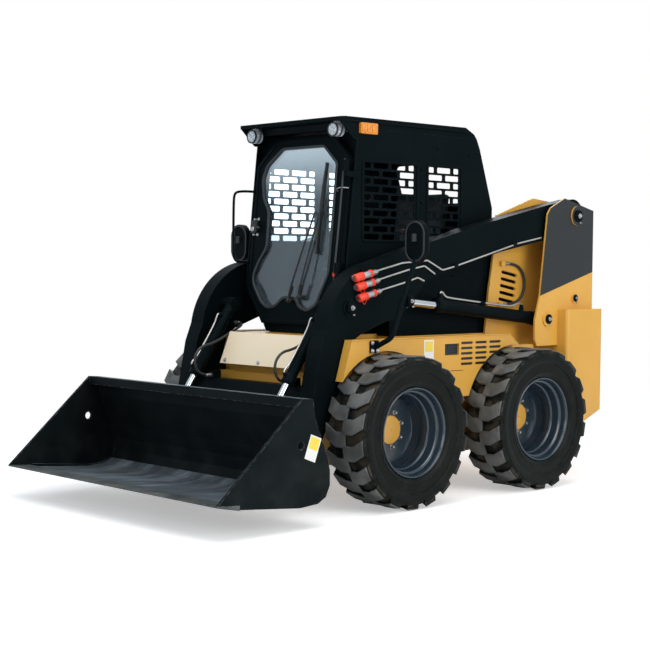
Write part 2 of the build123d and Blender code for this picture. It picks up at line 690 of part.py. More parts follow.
with BuildPart() as coupler:
    plate = [mate_foot, mate_head, (mate_head[0] + mate_aft[0], mate_head[1] + mate_aft[1]),
             (mate_foot[0] + mate_aft[0], mate_foot[1] + mate_aft[1])]
    low_plate = [mate_foot, (-700, 385), (-700 + mate_aft[0], 385 + mate_aft[1]),
                 (mate_foot[0] + mate_aft[0], mate_foot[1] + mate_aft[1])]
    tilt_ear = [(-738, 566), (-625, 534), (-586, 480), (-600, 440), (-662, 330)]
    pin_ear = [(-690, 420), (-560, 345), (-475, 310), (-475, 262), (-530, 232), (-634, 222)]
    gap_from = tilt_x - tilt_eye_width / 2 - moving_gap
    gap_to = tilt_x + tilt_eye_width / 2 + moving_gap
    leg_from = arm_inner_x - moving_gap
    leg_to = arm_outer_x + moving_gap
    for side in (-1, 1):
        extrude(outline(side * (gap_from - 60), plate), amount=side * 60)
        extrude(outline(side * gap_to, plate), amount=side * (leg_to + 24 - gap_to))
        extrude(outline(side * (gap_from - ear_sheet), tilt_ear), amount=side * ear_sheet)
        extrude(outline(side * gap_to, tilt_ear), amount=side * (leg_from - gap_to))
        extrude(outline(side * gap_to, pin_ear), amount=side * (leg_from - gap_to))
        extrude(outline(side * leg_to, pin_ear), amount=side * ear_sheet)
        extrude(disc(side * (leg_from - 5), bucket_pin, bucket_pin_radius), amount=side * (leg_to - leg_from + 10))
        extrude(outline(side * gap_from, low_plate), amount=side * (gap_to - gap_from))
    tie = [(-692, 362), (-715, 438), (-655, 455), (-632, 380)]
    extrude(outline(-gap_from, tie), amount=2 * gap_from)
write("coupler", coupler.part)

back = [(-886, 116), (-766, 125), (-712, 154), (-685, 211), (-686, 287), (-707, 364), (-742, 441), (-784, 543),
        (-805, 648)]
with BuildPart() as bucket:
    side_outline = [(-lip_reach + blade_depth, 150), *back, (-871, 652), (-lip_reach, 180),
                    (-lip_reach + blade_depth, 170)]
    extrude(outline(-bucket_half, side_outline), amount=2 * bucket_half)
    inside = [(-lip_reach - 50, 176), (-890, 116 + bucket_sheet), (-778, 125 + bucket_sheet), (-722, 164), (-699, 214),
              (-700, 284), (-721, 360), (-756, 436), (-798, 539), (-819, 652), (-819, 720), (-lip_reach - 50, 720)]
    extrude(outline(-bucket_half + bucket_side, inside), amount=2 * (bucket_half - bucket_side), mode=Mode.SUBTRACT)
    lip_tube = [(-871, 606), (-871, 652), (-805, 648), (-797, 606)]
    extrude(outline(-bucket_half + bucket_side, lip_tube), amount=2 * (bucket_half - bucket_side))
    rail = [mate_foot, mate_head, (-790, 560), (-784, 543), (-742, 441), (-707, 364), (-686, 287), (-685, 215)]
    for side in (-1, 1):
        extrude(outline(side * (gap_from - 60), rail), amount=side * 50)
        extrude(outline(side * (leg_from - 10), rail), amount=side * 110)
    extrude(disc(-bucket_half, side_hole, side_hole_radius), amount=2 * bucket_half, mode=Mode.SUBTRACT)
write("bucket", bucket.part)

with BuildPart() as cutting_edge:
    blade = [(-lip_reach, 172), (-lip_reach, 180), (-lip_reach + blade_depth, 170), (-lip_reach + blade_depth, 146)]
    extrude(outline(-bucket_half, blade), amount=2 * bucket_half)
write("cutting_edge", cutting_edge.part)

# mirrors
with BuildPart() as mirror_arm:
    with BuildSketch(side_plane(fender_x)):
        with Locations((-100, 868)):
            RectangleRounded(60, 66, 8)
    extrude(amount=14)
    with BuildLine() as stalk:
        FilletPolyline((fender_x + 10, front_axle_y - 90, 868), (742, front_axle_y - 60, 920),
                       (742, front_axle_y + 40, 1180), (742, front_axle_y + 125, 1350), radius=60)
    with BuildSketch(Plane(origin=stalk.line @ 0, z_dir=stalk.line % 0)):
        Circle(14)
    sweep(path=stalk.line)
    with BuildSketch(Plane(origin=(742, front_axle_y + 110, 1437), x_dir=(1, 0, 0), z_dir=(0, 1, 0))):
        RectangleRounded(150, 230, 70)
    extrude(amount=30)
write_pair("mirror", mirror_arm.part)

# wheels; a lug runs from past the middle of the tread to its shoulder, where it leads by lug_lead
lug_width = 52.0
lug_lead = 42.0
lug_tip = -30.0
lug_bend = 62.0
tyre_mid_x = (tyre_inner_x + tyre_outer_x) / 2
lug_end = (tyre_outer_x - tyre_inner_x) / 2 - 6
lug_foot = -(lug_width + lug_lead) / 2
lug_turn = math.pi / lug_count     # half a pitch, between the two rows
lug_top = (tyre_radius + lug_foot * math.sin(lug_turn)) / math.cos(lug_turn)
lug_outline = [(lug_tip, lug_foot), (lug_bend, lug_foot), (lug_end, lug_foot + lug_lead),
               (lug_end, lug_foot + lug_lead + lug_width), (lug_bend, lug_foot + lug_width),
               (lug_tip, lug_foot + lug_width)]
tyre_rings = [(bead_radius + 18, tyre_inner_x + 30), (tyre_wall, tyre_inner_x), (tyre_shoulder, tyre_inner_x),
              (tread_radius, tyre_inner_x + 12), (tread_radius, tyre_outer_x - 12), (tyre_shoulder, tyre_outer_x),
              (tyre_wall, tyre_outer_x), (bead_radius + 18, tyre_outer_x - 30)]
wheel_places = [("front_left", 1, 0.0), ("front_right", -1, 0.0), ("rear_left", 1, wheelbase),
                ("rear_right", -1, wheelbase)]
for place, side, station in wheel_places:
    hub_line = Plane(origin=(0, front_axle_y + station, tyre_radius), x_dir=(0, 0, 1), z_dir=(0, 1, 0))
    axle = (0, front_axle_y + station, tyre_radius)
    with BuildPart() as tyre:
        for radius, x in tyre_rings:
            with BuildSketch(Plane(origin=(side * x, axle[1], axle[2]), x_dir=(0, 1, 0), z_dir=(side, 0, 0))):
                RegularPolygon(radius, tyre_facets)
        loft(ruled=True)
        with BuildSketch(Plane(origin=(side * (tyre_inner_x + 30), axle[1], axle[2]), x_dir=(0, 1, 0),
                               z_dir=(side, 0, 0))):
            RegularPolygon(bead_radius, tyre_facets, major_radius=False)
        extrude(amount=tyre_outer_x - tyre_inner_x - 60, mode=Mode.SUBTRACT)
        for row in (1, -1):
            turns = [lug_turn * (2 * lug + (row + 1) / 2) for lug in range(lug_count)]
            with BuildSketch(*[Plane(origin=(side * tyre_mid_x, axle[1] - lug_root * math.cos(turn),
                                             axle[2] + lug_root * math.sin(turn)),
                                     x_dir=(1, 0, 0), z_dir=(0, -math.cos(turn), math.sin(turn))) for turn in turns]):
                with BuildLine():
                    Polyline(*[(row * side * x, along_tread) for x, along_tread in lug_outline], close=True)
                make_face()
            extrude(amount=lug_top - lug_root)
    write(f"tyre_{place}", tyre.part)
    with BuildPart() as rim:
        with BuildSketch(hub_line):
            with BuildLine():
                Polyline(*[(radius, side * x) for radius, x in (
                    (bead_radius - 12, tyre_inner_x + 30), (bead_radius, tyre_inner_x + 30),
                    (bead_radius, tyre_outer_x - 30), (bead_radius + 12, tyre_outer_x - 30),
                    (bead_radius + 12, tyre_outer_x - 20), (bead_radius - 8, tyre_outer_x - 20),
                    (bead_radius - 12, tyre_outer_x - 40), (bead_radius - 30, disc_x + 90),
                    (bead_radius - 34, disc_x + disc_thickness), (hub_radius, disc_x + disc_thickness),
                    (hub_radius, disc_x + hub_height), (0, disc_x + hub_height), (0, tub_half + 20),
                    (axle_radius, tub_half + 20), (axle_radius, disc_x - 60), (120, disc_x - 60), (120, disc_x),
                    (bead_radius - 34, disc_x))], close=True)
            make_face()
        revolve(axis=Axis((0, front_axle_y + station, tyre_radius), (1, 0, 0)))
        with BuildSketch(Plane(origin=(side * (disc_x + disc_thickness), front_axle_y + station, tyre_radius),
                               x_dir=(0, 1, 0), z_dir=(side, 0, 0))):
            with PolarLocations(stud_circle / 2, stud_count):
                RegularPolygon(nut_radius, 6)
        extrude(amount=nut_height)
    write(f"rim_{place}", rim.part)
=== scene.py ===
import json
import math

import bpy
from mathutils import Matrix, Vector


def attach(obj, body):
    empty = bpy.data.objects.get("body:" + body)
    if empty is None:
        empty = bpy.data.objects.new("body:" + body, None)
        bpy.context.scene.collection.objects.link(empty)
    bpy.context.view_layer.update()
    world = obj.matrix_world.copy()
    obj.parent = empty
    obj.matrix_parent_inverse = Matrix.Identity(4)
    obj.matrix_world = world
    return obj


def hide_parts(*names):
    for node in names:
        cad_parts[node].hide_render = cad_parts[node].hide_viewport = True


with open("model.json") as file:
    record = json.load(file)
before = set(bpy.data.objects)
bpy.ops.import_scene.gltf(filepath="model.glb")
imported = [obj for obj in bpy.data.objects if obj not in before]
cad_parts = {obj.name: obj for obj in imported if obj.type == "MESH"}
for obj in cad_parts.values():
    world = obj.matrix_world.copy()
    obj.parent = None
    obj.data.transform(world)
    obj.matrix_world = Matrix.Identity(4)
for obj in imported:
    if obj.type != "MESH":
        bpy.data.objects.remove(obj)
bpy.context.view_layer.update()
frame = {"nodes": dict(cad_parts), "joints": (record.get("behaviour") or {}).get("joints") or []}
nodes = frame["nodes"]
joints = {joint["name"]: joint for joint in frame["joints"]}

places = ("front_left", "front_right", "rear_left", "rear_right")
axleY = {name: joints["wheel_spin_" + name]["pos_m"][1] for name in places}
frontAxle = axleY["front_left"]
axleHeight = joints["wheel_spin_front_left"]["pos_m"][2]


# shader groups: effects that several materials share

def newGroup(name, inputs, outputs):
    group = bpy.data.node_groups.new(name, "ShaderNodeTree")
    for title, value in inputs:
        socket = group.interface.new_socket(title, in_out="INPUT", socket_type="NodeSocketFloat")
        socket.default_value = value
    for title in outputs:
        group.interface.new_socket(title, in_out="OUTPUT", socket_type="NodeSocketFloat")
    return group, group.nodes.new("NodeGroupInput"), group.nodes.new("NodeGroupOutput")


def give(tree, value, socket):
    # feeds a socket from another socket, a number or a colour
    if isinstance(value, (int, float)):
        socket.default_value = value
    elif isinstance(value, tuple):
        socket.default_value = (*value, 1.0)
    elif value is not None:
        tree.links.new(value, socket)


def feed(tree, node, inputs):
    for title, value in inputs.items():
        give(tree, value, node.inputs[title])


def newNode(tree, kind, inputs, **settings):
    # a shader node with its settings, each input fed by its name or number
    node = tree.nodes.new("ShaderNode" + kind)
    for title, value in settings.items():
        setattr(node, title, value)
    feed(tree, node, inputs)
    return node.outputs


def sumNode(tree, operation, first, second=None, clamp=False):
    # a Math node; each of its values is a socket or a number
    return newNode(tree, "Math", {0: first, 1: second}, operation=operation, use_clamp=clamp)[0]


def times(tree, first, second, clamp=False):
    return sumNode(tree, "MULTIPLY", first, second, clamp)


def coordinates(tree):
    return newNode(tree, "TexCoord", {})["Object"]


def normals(tree):
    return newNode(tree, "NewGeometry", {})["Normal"]


def noiseNode(tree, scale, detail, stretch=None):
    where = coordinates(tree)
    if stretch:
        mapping = tree.nodes.new("ShaderNodeMapping")
        mapping.inputs["Scale"].default_value = stretch
        feed(tree, mapping, {"Vector": where})
        where = mapping.outputs[0]
    return newNode(tree, "TexNoise", {"Vector": where, "Scale": scale, "Detail": detail})["Fac"]


def spanNode(tree, value, low, high):
    # a smooth step from 0 at low to 1 at high
    return newNode(tree, "MapRange", {"Value": value, "From Min": low, "From Max": high},
                   interpolation_type="SMOOTHSTEP")[0]


def placeNode(tree):
    # X, Y and Z of a surface's place
    return newNode(tree, "SeparateXYZ", {0: coordinates(tree)})


def facingNode(tree):
    # X, Y and Z of the direction a surface faces
    return newNode(tree, "SeparateXYZ", {0: normals(tree)})


def makeEdgeWear():
    # worn edges: where a rounded normal turns away from the flat one, broken up by noise
    group, source, sink = newGroup("edgeWear", (("Width", 0.004), ("Amount", 1.0)), ("Mask",))
    rounded = newNode(group, "Bevel", {"Radius": source.outputs["Width"]}, samples=4)[0]
    turn = newNode(group, "VectorMath", {0: rounded, 1: normals(group)}, operation="DOT_PRODUCT")["Value"]
    edge = spanNode(group, sumNode(group, "SUBTRACT", 1.0, turn, True), 0.02, 0.16)
    worn = times(group, edge, spanNode(group, noiseNode(group, 38.0, 5.0), 0.42, 0.66))
    feed(group, sink, {"Mask": times(group, worn, source.outputs["Amount"], True)})
    return group


def makeDust():
    # dust on faces that look up and near the ground, broken up by a cloud
    group, source, sink = newGroup("dust", (("Amount", 0.3), ("Reach", 0.9), ("Scale", 7.0)), ("Mask",))
    upward = spanNode(group, facingNode(group)["Z"], 0.2, 1.0)
    low = sumNode(group, "SUBTRACT", 1.0, spanNode(group, placeNode(group)["Z"], 0.0, source.outputs["Reach"]))
    both = sumNode(group, "MAXIMUM", times(group, low, 0.8), times(group, upward, 0.6))
    mask = times(group, both, spanNode(group, noiseNode(group, source.outputs["Scale"], 6.0), 0.35, 0.75))
    feed(group, sink, {"Mask": times(group, mask, source.outputs["Amount"], True)})
    return group


def makeGrain():
    group, source, sink = newGroup("grain", (("Scale", 400.0), ("Depth", 1.0)), ("Height", "Patches"))
    fine = noiseNode(group, source.outputs["Scale"], 2.0)
    feed(group, sink, {"Height": times(group, fine, source.outputs["Depth"]),
                       "Patches": noiseNode(group, 3.1, 4.0)})
    return group


effects = {"edgeWear": makeEdgeWear(), "dust": makeDust(), "grain": makeGrain()}


def groupNode(tree, name, inputs):
    return newNode(tree, "Group", inputs, node_tree=effects[name])


def mixNode(tree, mask, first, second):
    # a colour mix; each colour is a socket or three numbers
    mix = tree.nodes.new("ShaderNodeMix")
    mix.data_type = "RGBA"
    give(tree, mask, mix.inputs["Factor"])
    for title, value in (("A", first), ("B", second)):
        give(tree, value, [socket for socket in mix.inputs if socket.name == title and socket.type == "RGBA"][0])
    return [socket for socket in mix.outputs if socket.type == "RGBA"][0]


def bumpNode(tree, height, strength, distance):
    return newNode(tree, "Bump", {"Height": height, "Strength": strength, "Distance": distance})[0]


def newMaterial(name):
    material = bpy.data.materials.new(name)
    material.use_nodes = True
    tree = material.node_tree
    return material, tree, tree.nodes["Principled BSDF"]


plainLook = dict(grainScale=420.0, grainDepth=0.4, bump=0.15, bumpDistance=0.0006, wear=0.5, wearWidth=0.003,
                 chip=(0.25, 0.25, 0.26), dust=0.25, dustReach=0.9, dustScale=7.0, dustColour=(0.3, 0.27, 0.23),
                 roughSpread=0.15, dustRough=0.35, metal=0.0, gloss=0.5, shine=(1.0, 1.0, 1.0), coat=0.0,
                 coatRough=0.12)


def coated(name, look, colourOver=None):
    # painted or moulded surface: base colour with patches, chipped edges, dust and a fine grain
    look = {**plainLook, **look}
    material, tree, shader = newMaterial(name)
    grain = groupNode(tree, "grain", {"Scale": look["grainScale"], "Depth": look["grainDepth"]})
    colour = mixNode(tree, spanNode(tree, grain["Patches"], 0.3, 0.7), look["colour"], look["shade"])
    if colourOver:
        colour = colourOver(tree, colour)
    wear = groupNode(tree, "edgeWear", {"Width": look["wearWidth"], "Amount": look["wear"]})["Mask"]
    colour = mixNode(tree, wear, colour, look["chip"])
    dust = groupNode(tree, "dust", {"Amount": look["dust"], "Reach": look["dustReach"],
                                    "Scale": look["dustScale"]})["Mask"]
    rough = sumNode(tree, "ADD", times(tree, grain["Patches"], look["roughSpread"]), look["rough"])
    feed(tree, shader, {
        "Base Color": mixNode(tree, dust, colour, look["dustColour"]),
        "Roughness": sumNode(tree, "ADD", rough, times(tree, dust, look["dustRough"]), True),
        "Normal": bumpNode(tree, grain["Height"], look["bump"], look["bumpDistance"]),
        "Metallic": look["metal"], "Specular IOR Level": look["gloss"], "Specular Tint": look["shine"],
        "Coat Weight": look["coat"], "Coat Roughness": look["coatRough"]})
    return material


# the foot of the towers' two-tone line, its rise, the plate it is on and how squarely that has to face sideways
towerLine = {"y": 1.367, "z": 1.129, "slope": 0.278, "face": 0.6105, "facing": 0.8}


def blackAboveLine(tree, colour):
    # black over the slanting line on the towers' outer faces; the plates' edges stay as they are
    place = placeNode(tree)
    aft = sumNode(tree, "SUBTRACT", place["Y"], frontAxle + towerLine["y"])
    line = sumNode(tree, "ADD", times(tree, aft, towerLine["slope"]), towerLine["z"])
    above = sumNode(tree, "GREATER_THAN", place["Z"], line)
    outside = sumNode(tree, "GREATER_THAN", sumNode(tree, "ABSOLUTE", place["X"]), towerLine["face"])
    flat = sumNode(tree, "GREATER_THAN", sumNode(tree, "ABSOLUTE", facingNode(tree)["X"]), towerLine["facing"])
    mask = times(tree, times(tree, above, outside), flat)
    return mixNode(tree, mask, colour, looks["blackPaint"]["colour"])


def streaks(tree, colour):
    # scoured lines running back from the lip, on faces that look up
    lines = spanNode(tree, noiseNode(tree, 9.0, 7.0, (1.0, 0.2, 1.0)), 0.46, 0.72)
    fine = spanNode(tree, noiseNode(tree, 30.0, 5.0, (1.0, 0.1, 1.0)), 0.4, 0.7)
    both = sumNode(tree, "ADD", times(tree, lines, 0.75), times(tree, fine, 0.3), True)
    upward = spanNode(tree, facingNode(tree)["Z"], 0.75, 0.95)
    colour = mixNode(tree, times(tree, upward, 0.9), colour, (0.07, 0.084, 0.098))
    return mixNode(tree, times(tree, both, upward), colour, (0.2, 0.24, 0.27))


bucketLabel = {"y": -0.802, "z": 0.4035, "lean": 0.36, "face": 0.92,
               # half a width, the lower and the upper edge of the white field and of the yellow one in it
               "labelWhite": (0.0375, -0.062, 0.062), "labelYellow": (0.031, -0.006, 0.055)}


def inBox(tree, across, up, halfAcross, low, high):
    # 1 where a place lies within half a width and between two heights
    inside = sumNode(tree, "LESS_THAN", sumNode(tree, "ABSOLUTE", across), halfAcross)
    inside = times(tree, inside, sumNode(tree, "GREATER_THAN", up, low))
    return times(tree, inside, sumNode(tree, "LESS_THAN", up, high))


def bucketFinish(tree, colour):
    # the scoured floor, and a blank label on each side plate
    colour = streaks(tree, colour)
    place = placeNode(tree)
    aft = sumNode(tree, "SUBTRACT", place["Y"], frontAxle + bucketLabel["y"])
    up = sumNode(tree, "SUBTRACT", place["Z"], bucketLabel["z"])
    cosine, sine = math.cos(bucketLabel["lean"]), math.sin(bucketLabel["lean"])
    across = sumNode(tree, "SUBTRACT", times(tree, aft, cosine), times(tree, up, sine))
    tall = sumNode(tree, "ADD", times(tree, aft, sine), times(tree, up, cosine))
    outside = sumNode(tree, "GREATER_THAN", sumNode(tree, "ABSOLUTE", place["X"]), bucketLabel["face"])
    for finish in ("labelWhite", "labelYellow"):
        mask = times(tree, inBox(tree, across, tall, *bucketLabel[finish]), outside)
        colour = mixNode(tree, mask, colour, looks[finish]["colour"])
    return colour


rackFace = 0.5945


def blackRack(tree, colour):
    # the pipes' rack and clamps are black: for each its place, half its length, and where across it is black
    place = placeNode(tree)
    inside = sumNode(tree, "LESS_THAN", place["X"], rackFace)
    mask = 0.0
    for y, half, gate in ((-0.11, 0.04, inside), (0.62, 0.018, 1.0), (1.15, 0.018, 1.0)):
        near = sumNode(tree, "ABSOLUTE", sumNode(tree, "SUBTRACT", place["Y"], frontAxle + y))
        near = times(tree, sumNode(tree, "LESS_THAN", near, half), gate)
        mask = sumNode(tree, "MAXIMUM", mask, near)
    return mixNode(tree, mask, colour, looks["blackPaint"]["colour"])


looks = {
    "amberPaint": dict(colour=(0.7, 0.375, 0.062), shade=(0.66, 0.345, 0.052), rough=0.3, coat=0.22, wear=0.18,
                       chip=(0.86, 0.6, 0.24), dust=0.14, bump=0.1),
    # the front plate's paint: its own pale colour, lifted further towards white as a painted highlight
    "creamPaint": dict(colour=(0.93, 0.79, 0.58), shade=(0.9, 0.74, 0.52), rough=0.32, coat=0.3, wear=0.25,
                       chip=(0.55, 0.38, 0.16), dust=0.15, bump=0.1),
    "blackPaint": dict(colour=(0.003, 0.0055, 0.0065), shade=(0.002, 0.004, 0.005), rough=0.32, gloss=0.04,
                       shine=(0.55, 0.9, 1.0), wear=0.35, wearWidth=0.0025, chip=(0.09, 0.1, 0.11), dust=0.05,
                       bump=0.14, dustColour=(0.16, 0.15, 0.14)),
    "bucketPaint": dict(colour=(0.005, 0.0075, 0.008), shade=(0.0035, 0.005, 0.0055), rough=0.4, gloss=0.07,
                        shine=(0.6, 0.92, 1.0), wear=0.8, wearWidth=0.004, chip=(0.22, 0.24, 0.25), dust=0.07,
                        bump=0.2, dustColour=(0.16, 0.16, 0.15)),
    "wearSteel": dict(colour=(0.075, 0.09, 0.095), shade=(0.03, 0.038, 0.04), rough=0.42, metal=0.4, wear=0.8,
                      chip=(0.35, 0.36, 0.36), dust=0.3, bump=0.3, grainScale=160.0),
    "rodChrome": dict(colour=(0.72, 0.74, 0.77), shade=(0.6, 0.63, 0.66), rough=0.1, roughSpread=0.08, metal=1.0,
                      wear=0.0, dust=0.1, bump=0.03),
    "pipeSteel": dict(colour=(0.62, 0.61, 0.58), shade=(0.5, 0.48, 0.45), rough=0.28, metal=0.9, wear=0.0,
                      dust=0.15, bump=0.12, grainScale=300.0),
    "boltSteel": dict(colour=(0.55, 0.55, 0.56), shade=(0.36, 0.36, 0.38), rough=0.28, metal=0.9, wear=0.3,
                      wearWidth=0.001, chip=(0.7, 0.7, 0.7), dust=0.15, bump=0.1),
    "engineIron": dict(colour=(0.06, 0.062, 0.065), shade=(0.035, 0.036, 0.038), rough=0.6, dust=0.5, bump=0.5,
                       grainScale=120.0),
    # the rims' dark paint, lifted and made bluer as a painted reflection of the sky on their ridges
    "rimPaint": dict(colour=(0.016, 0.032, 0.048), shade=(0.011, 0.023, 0.036), rough=0.18, coat=0.5,
                     wear=0.25, wearWidth=0.002, chip=(0.12, 0.13, 0.15), dust=0.04, dustReach=1.2, bump=0.08),
    "tyreRubber": dict(colour=(0.004, 0.0066, 0.0058), shade=(0.0026, 0.0044, 0.0038), rough=0.32, gloss=0.1,
                       wearWidth=0.006, chip=(0.06, 0.06, 0.055), dust=0.04, dustReach=1.2, dustScale=14.0,
                       dustColour=(0.16, 0.145, 0.12), bump=0.3, grainScale=260.0),
    "hoseBraid": dict(colour=(0.03, 0.031, 0.034), shade=(0.014, 0.015, 0.017), rough=0.5, wear=0.0, dust=0.2,
                      bump=0.6, grainScale=500.0),
    "sealRubber": dict(colour=(0.014, 0.02, 0.026), shade=(0.01, 0.014, 0.018), rough=0.3, wear=0.0,
                       dust=0.1, bump=0.2),
    "blackPlastic": dict(colour=(0.01, 0.012, 0.014), shade=(0.007, 0.009, 0.01), rough=0.42, wear=0.1,
                         dust=0.12, bump=0.3, grainScale=600.0),
    "capRed": dict(colour=(0.8, 0.05, 0.018), shade=(0.7, 0.035, 0.012), rough=0.34, wear=0.0, dust=0.06,
                   bump=0.12),
    "labelWhite": dict(colour=(0.8, 0.8, 0.78), shade=(0.74, 0.74, 0.72), rough=0.35, wear=0.0, dust=0.1,
                       bump=0.03),
    "labelYellow": dict(colour=(0.85, 0.66, 0.1), shade=(0.8, 0.6, 0.08), rough=0.35, wear=0.0, dust=0.1,
                        bump=0.03),
    "seatVinyl": dict(colour=(0.014, 0.015, 0.017), shade=(0.009, 0.01, 0.011), rough=0.5, wear=0.2, dust=0.1,
                      bump=0.4, grainScale=300.0, chip=(0.05, 0.05, 0.05)),
    "controlPlastic": dict(colour=(0.02, 0.021, 0.024), shade=(0.014, 0.015, 0.017), rough=0.45, wear=0.2,
                           dust=0.1, bump=0.3, grainScale=500.0, chip=(0.06, 0.06, 0.06)),
}


def mirrorMaterial():
    material, tree, shader = newMaterial("mirrorGlass")
    smear = spanNode(tree, noiseNode(tree, 9.0, 4.0), 0.3, 0.8)
    feed(tree, shader, {"Base Color": mixNode(tree, smear, (0.8, 0.83, 0.85), (0.7, 0.73, 0.75)),
                        "Roughness": times(tree, smear, 0.06), "Metallic": 1.0})
    return material


# the lug faces' two greys are dust together with a painted highlight; the soil between the lugs is dirt
tread = {"top": (0.404, 0.409), "topShare": 0.85, "dry": ((0.08, 0.085, 0.084), (0.18, 0.182, 0.178)),
         "footIn": (0.384, 0.39), "footOut": (0.3955, 0.4005), "soilShare": 0.4, "soil": (0.13, 0.105, 0.08)}


def treadDustAndHighlight(tree, colour):
    # grey lug faces, partly dust and partly a painted highlight, with tan soil between them, by the distance from
    # the nearer axle
    place = placeNode(tree)
    reach = [sumNode(tree, "ABSOLUTE", sumNode(tree, "SUBTRACT", place["Y"], station))
             for station in sorted(set(axleY.values()))]
    aft = sumNode(tree, "MINIMUM", *reach)
    up = sumNode(tree, "SUBTRACT", place["Z"], axleHeight)
    radius = sumNode(tree, "POWER", sumNode(tree, "ADD", times(tree, aft, aft), times(tree, up, up)), 0.5)
    top = times(tree, spanNode(tree, radius, *tread["top"]), tread["topShare"])
    cloud = spanNode(tree, noiseNode(tree, 9.0, 6.0), 0.3, 0.7)
    colour = mixNode(tree, top, colour, mixNode(tree, cloud, *tread["dry"]))
    foot = sumNode(tree, "SUBTRACT", spanNode(tree, radius, *tread["footIn"]),
                   spanNode(tree, radius, *tread["footOut"]))
    soil = times(tree, foot, spanNode(tree, noiseNode(tree, 13.0, 5.0), 0.42, 0.66), True)
    return mixNode(tree, times(tree, soil, tread["soilShare"]), colour, tread["soil"])


tailLamp = {"back": 1.9065, "middle": 0.58, "half": 0.06, "rim": 0.007, "fields": (
    # how far in from the housing's edge in rims, the height's two ends, the colour
    (0, (0.86, 1.0), (0.006, 0.007, 0.008)), (1, (0.867, 0.927), (0.55, 0.012, 0.01)),
    (1, (0.933, 0.993), (0.9, 0.26, 0.015)))}


def tailLamps(tree, colour):
    # flush lamps in the bumpers' rear faces: a black housing, a red lens and an amber one
    place = placeNode(tree)
    behind = sumNode(tree, "GREATER_THAN", place["Y"], frontAxle + tailLamp["back"])
    across = sumNode(tree, "SUBTRACT", sumNode(tree, "ABSOLUTE", place["X"]), tailLamp["middle"])
    for inset, ends, shade in tailLamp["fields"]:
        half = tailLamp["half"] - inset * tailLamp["rim"]
        mask = times(tree, inBox(tree, across, place["Z"], half, *ends), behind)
        colour = mixNode(tree, mask, colour, shade)
    return colour


overlays = {"bucketPaint": bucketFinish, "tyreRubber": treadDustAndHighlight}
materials = {name: coated(name, look, overlays.get(name)) for name, look in looks.items()}
materials["mirrorGlass"] = mirrorMaterial()
materials["towerPaint"] = coated("towerPaint", looks["amberPaint"], blackAboveLine)
materials["bumperPaint"] = coated("bumperPaint", looks["amberPaint"], tailLamps)
materials["pipeRun"] = coated("pipeRun", looks["pipeSteel"], blackRack)


pane = {"tint": (0.66, 0.83, 0.95), "smear": 0.05, "through": 0.965, "bend": 1.42,
        "sky": (0.72, 0.86, 0.95), "skyHeights": (1.62, 2.05), "skyShare": 0.3}


def glassMaterial():
    # tinted glass with smears, and a painted reflection of the sky: the pane glows pale blue in its upper part
    material, tree, shader = newMaterial("glass")
    smear = spanNode(tree, noiseNode(tree, 6.0, 5.0), 0.35, 0.85)
    paintedSkyGlow = times(tree, spanNode(tree, placeNode(tree)["Z"], *pane["skyHeights"]), pane["skyShare"])
    feed(tree, shader, {
        "Base Color": mixNode(tree, smear, pane["tint"], tuple(part * 0.92 for part in pane["tint"])),
        "Roughness": times(tree, smear, pane["smear"]), "Transmission Weight": pane["through"],
        "IOR": pane["bend"], "Emission Color": pane["sky"], "Emission Strength": paintedSkyGlow})
    return material


def lampMaterial(name, colour, rough, glow):
    # a moulded lens with small cells
    material, tree, shader = newMaterial(name)
    cells = newNode(tree, "TexVoronoi", {"Scale": 90.0, "Vector": coordinates(tree)})["Distance"]
    shade = mixNode(tree, spanNode(tree, cells, 0.1, 0.6), colour, tuple(part * 0.6 for part in colour))
    feed(tree, shader, {"Base Color": shade, "Normal": bumpNode(tree, cells, 0.4, 0.001), "Roughness": rough,
                        "Coat Weight": 0.8, "Coat Roughness": 0.05, "Emission Color": colour,
                        "Emission Strength": glow})
    return material


materials["glass"] = glassMaterial()
materials["lampClear"] = lampMaterial("lampClear", (0.62, 0.68, 0.74), 0.15, 0.05)
materials["lampAmber"] = lampMaterial("lampAmber", (0.95, 0.32, 0.02), 0.2, 0.1)

finishes = {
    "amberPaint": ["chassis", "axle_housings", "fender_left", "fender_right"],
    "bumperPaint": ["bumper_left", "bumper_right"],
    "towerPaint": ["tower_left", "tower_right"],
    "creamPaint": ["front_plate"],
    "bucketPaint": ["bucket"],
    "wearSteel": ["cutting_edge"],
    "engineIron": ["engine"],
    "rodChrome": ["lift_rod_left", "lift_rod_right", "tilt_rod_left", "tilt_rod_right"],
    "pipeRun": ["arm_pipes"],
    "glass": ["door_glass"],
    "lampClear": ["work_lamps"],
    "lampAmber": ["marker_lamps"],
    "seatVinyl": ["seat"],
    "controlPlastic": ["controls"],
    "tyreRubber": ["tyre_" + name for name in places],
    "rimPaint": ["rim_" + name for name in places],
}


def finishNodes():
    named = {node: finish for finish, members in finishes.items() for node in members}
    for node, piece in nodes.items():
        material = materials[named.get(node, "blackPaint")]
        if not piece.material_slots:
            piece.data.materials.append(material)
        for place in piece.material_slots:
            place.material = material


finishNodes()
print("materials done")


# modelling steps that several pieces share

smoothAngle = math.radians(32.0)


def at(x, y, z):
    return Vector((x, frontAxle + y, z))     # y runs aft from the front axle


def route(*points):
    return [at(*point) for point in points]


def begin():
    bpy.ops.object.select_all(action="DESELECT")


def pick(piece):
    begin()
    piece.select_set(True)
    bpy.context.view_layer.objects.active = piece


def selectAll():
    bpy.ops.mesh.select_all(action="SELECT")


def extrude(by):
    bpy.ops.mesh.extrude_region_move(TRANSFORM_OT_translate={"value": tuple(by)})


def fixPlace():
    # puts the place, turn and size of what is selected into its mesh
    bpy.ops.object.transform_apply(location=True, rotation=True, scale=True)


def newObject(name, data):
    piece = bpy.data.objects.new(name, data)
    bpy.context.scene.collection.objects.link(piece)
    return piece


def edit(piece):
    pick(piece)
    bpy.ops.object.mode_set(mode="EDIT")
    selectAll()


def done(piece):
    selectAll()
    bpy.ops.mesh.normals_make_consistent(inside=False)
    bpy.ops.object.mode_set(mode="OBJECT")
    return piece


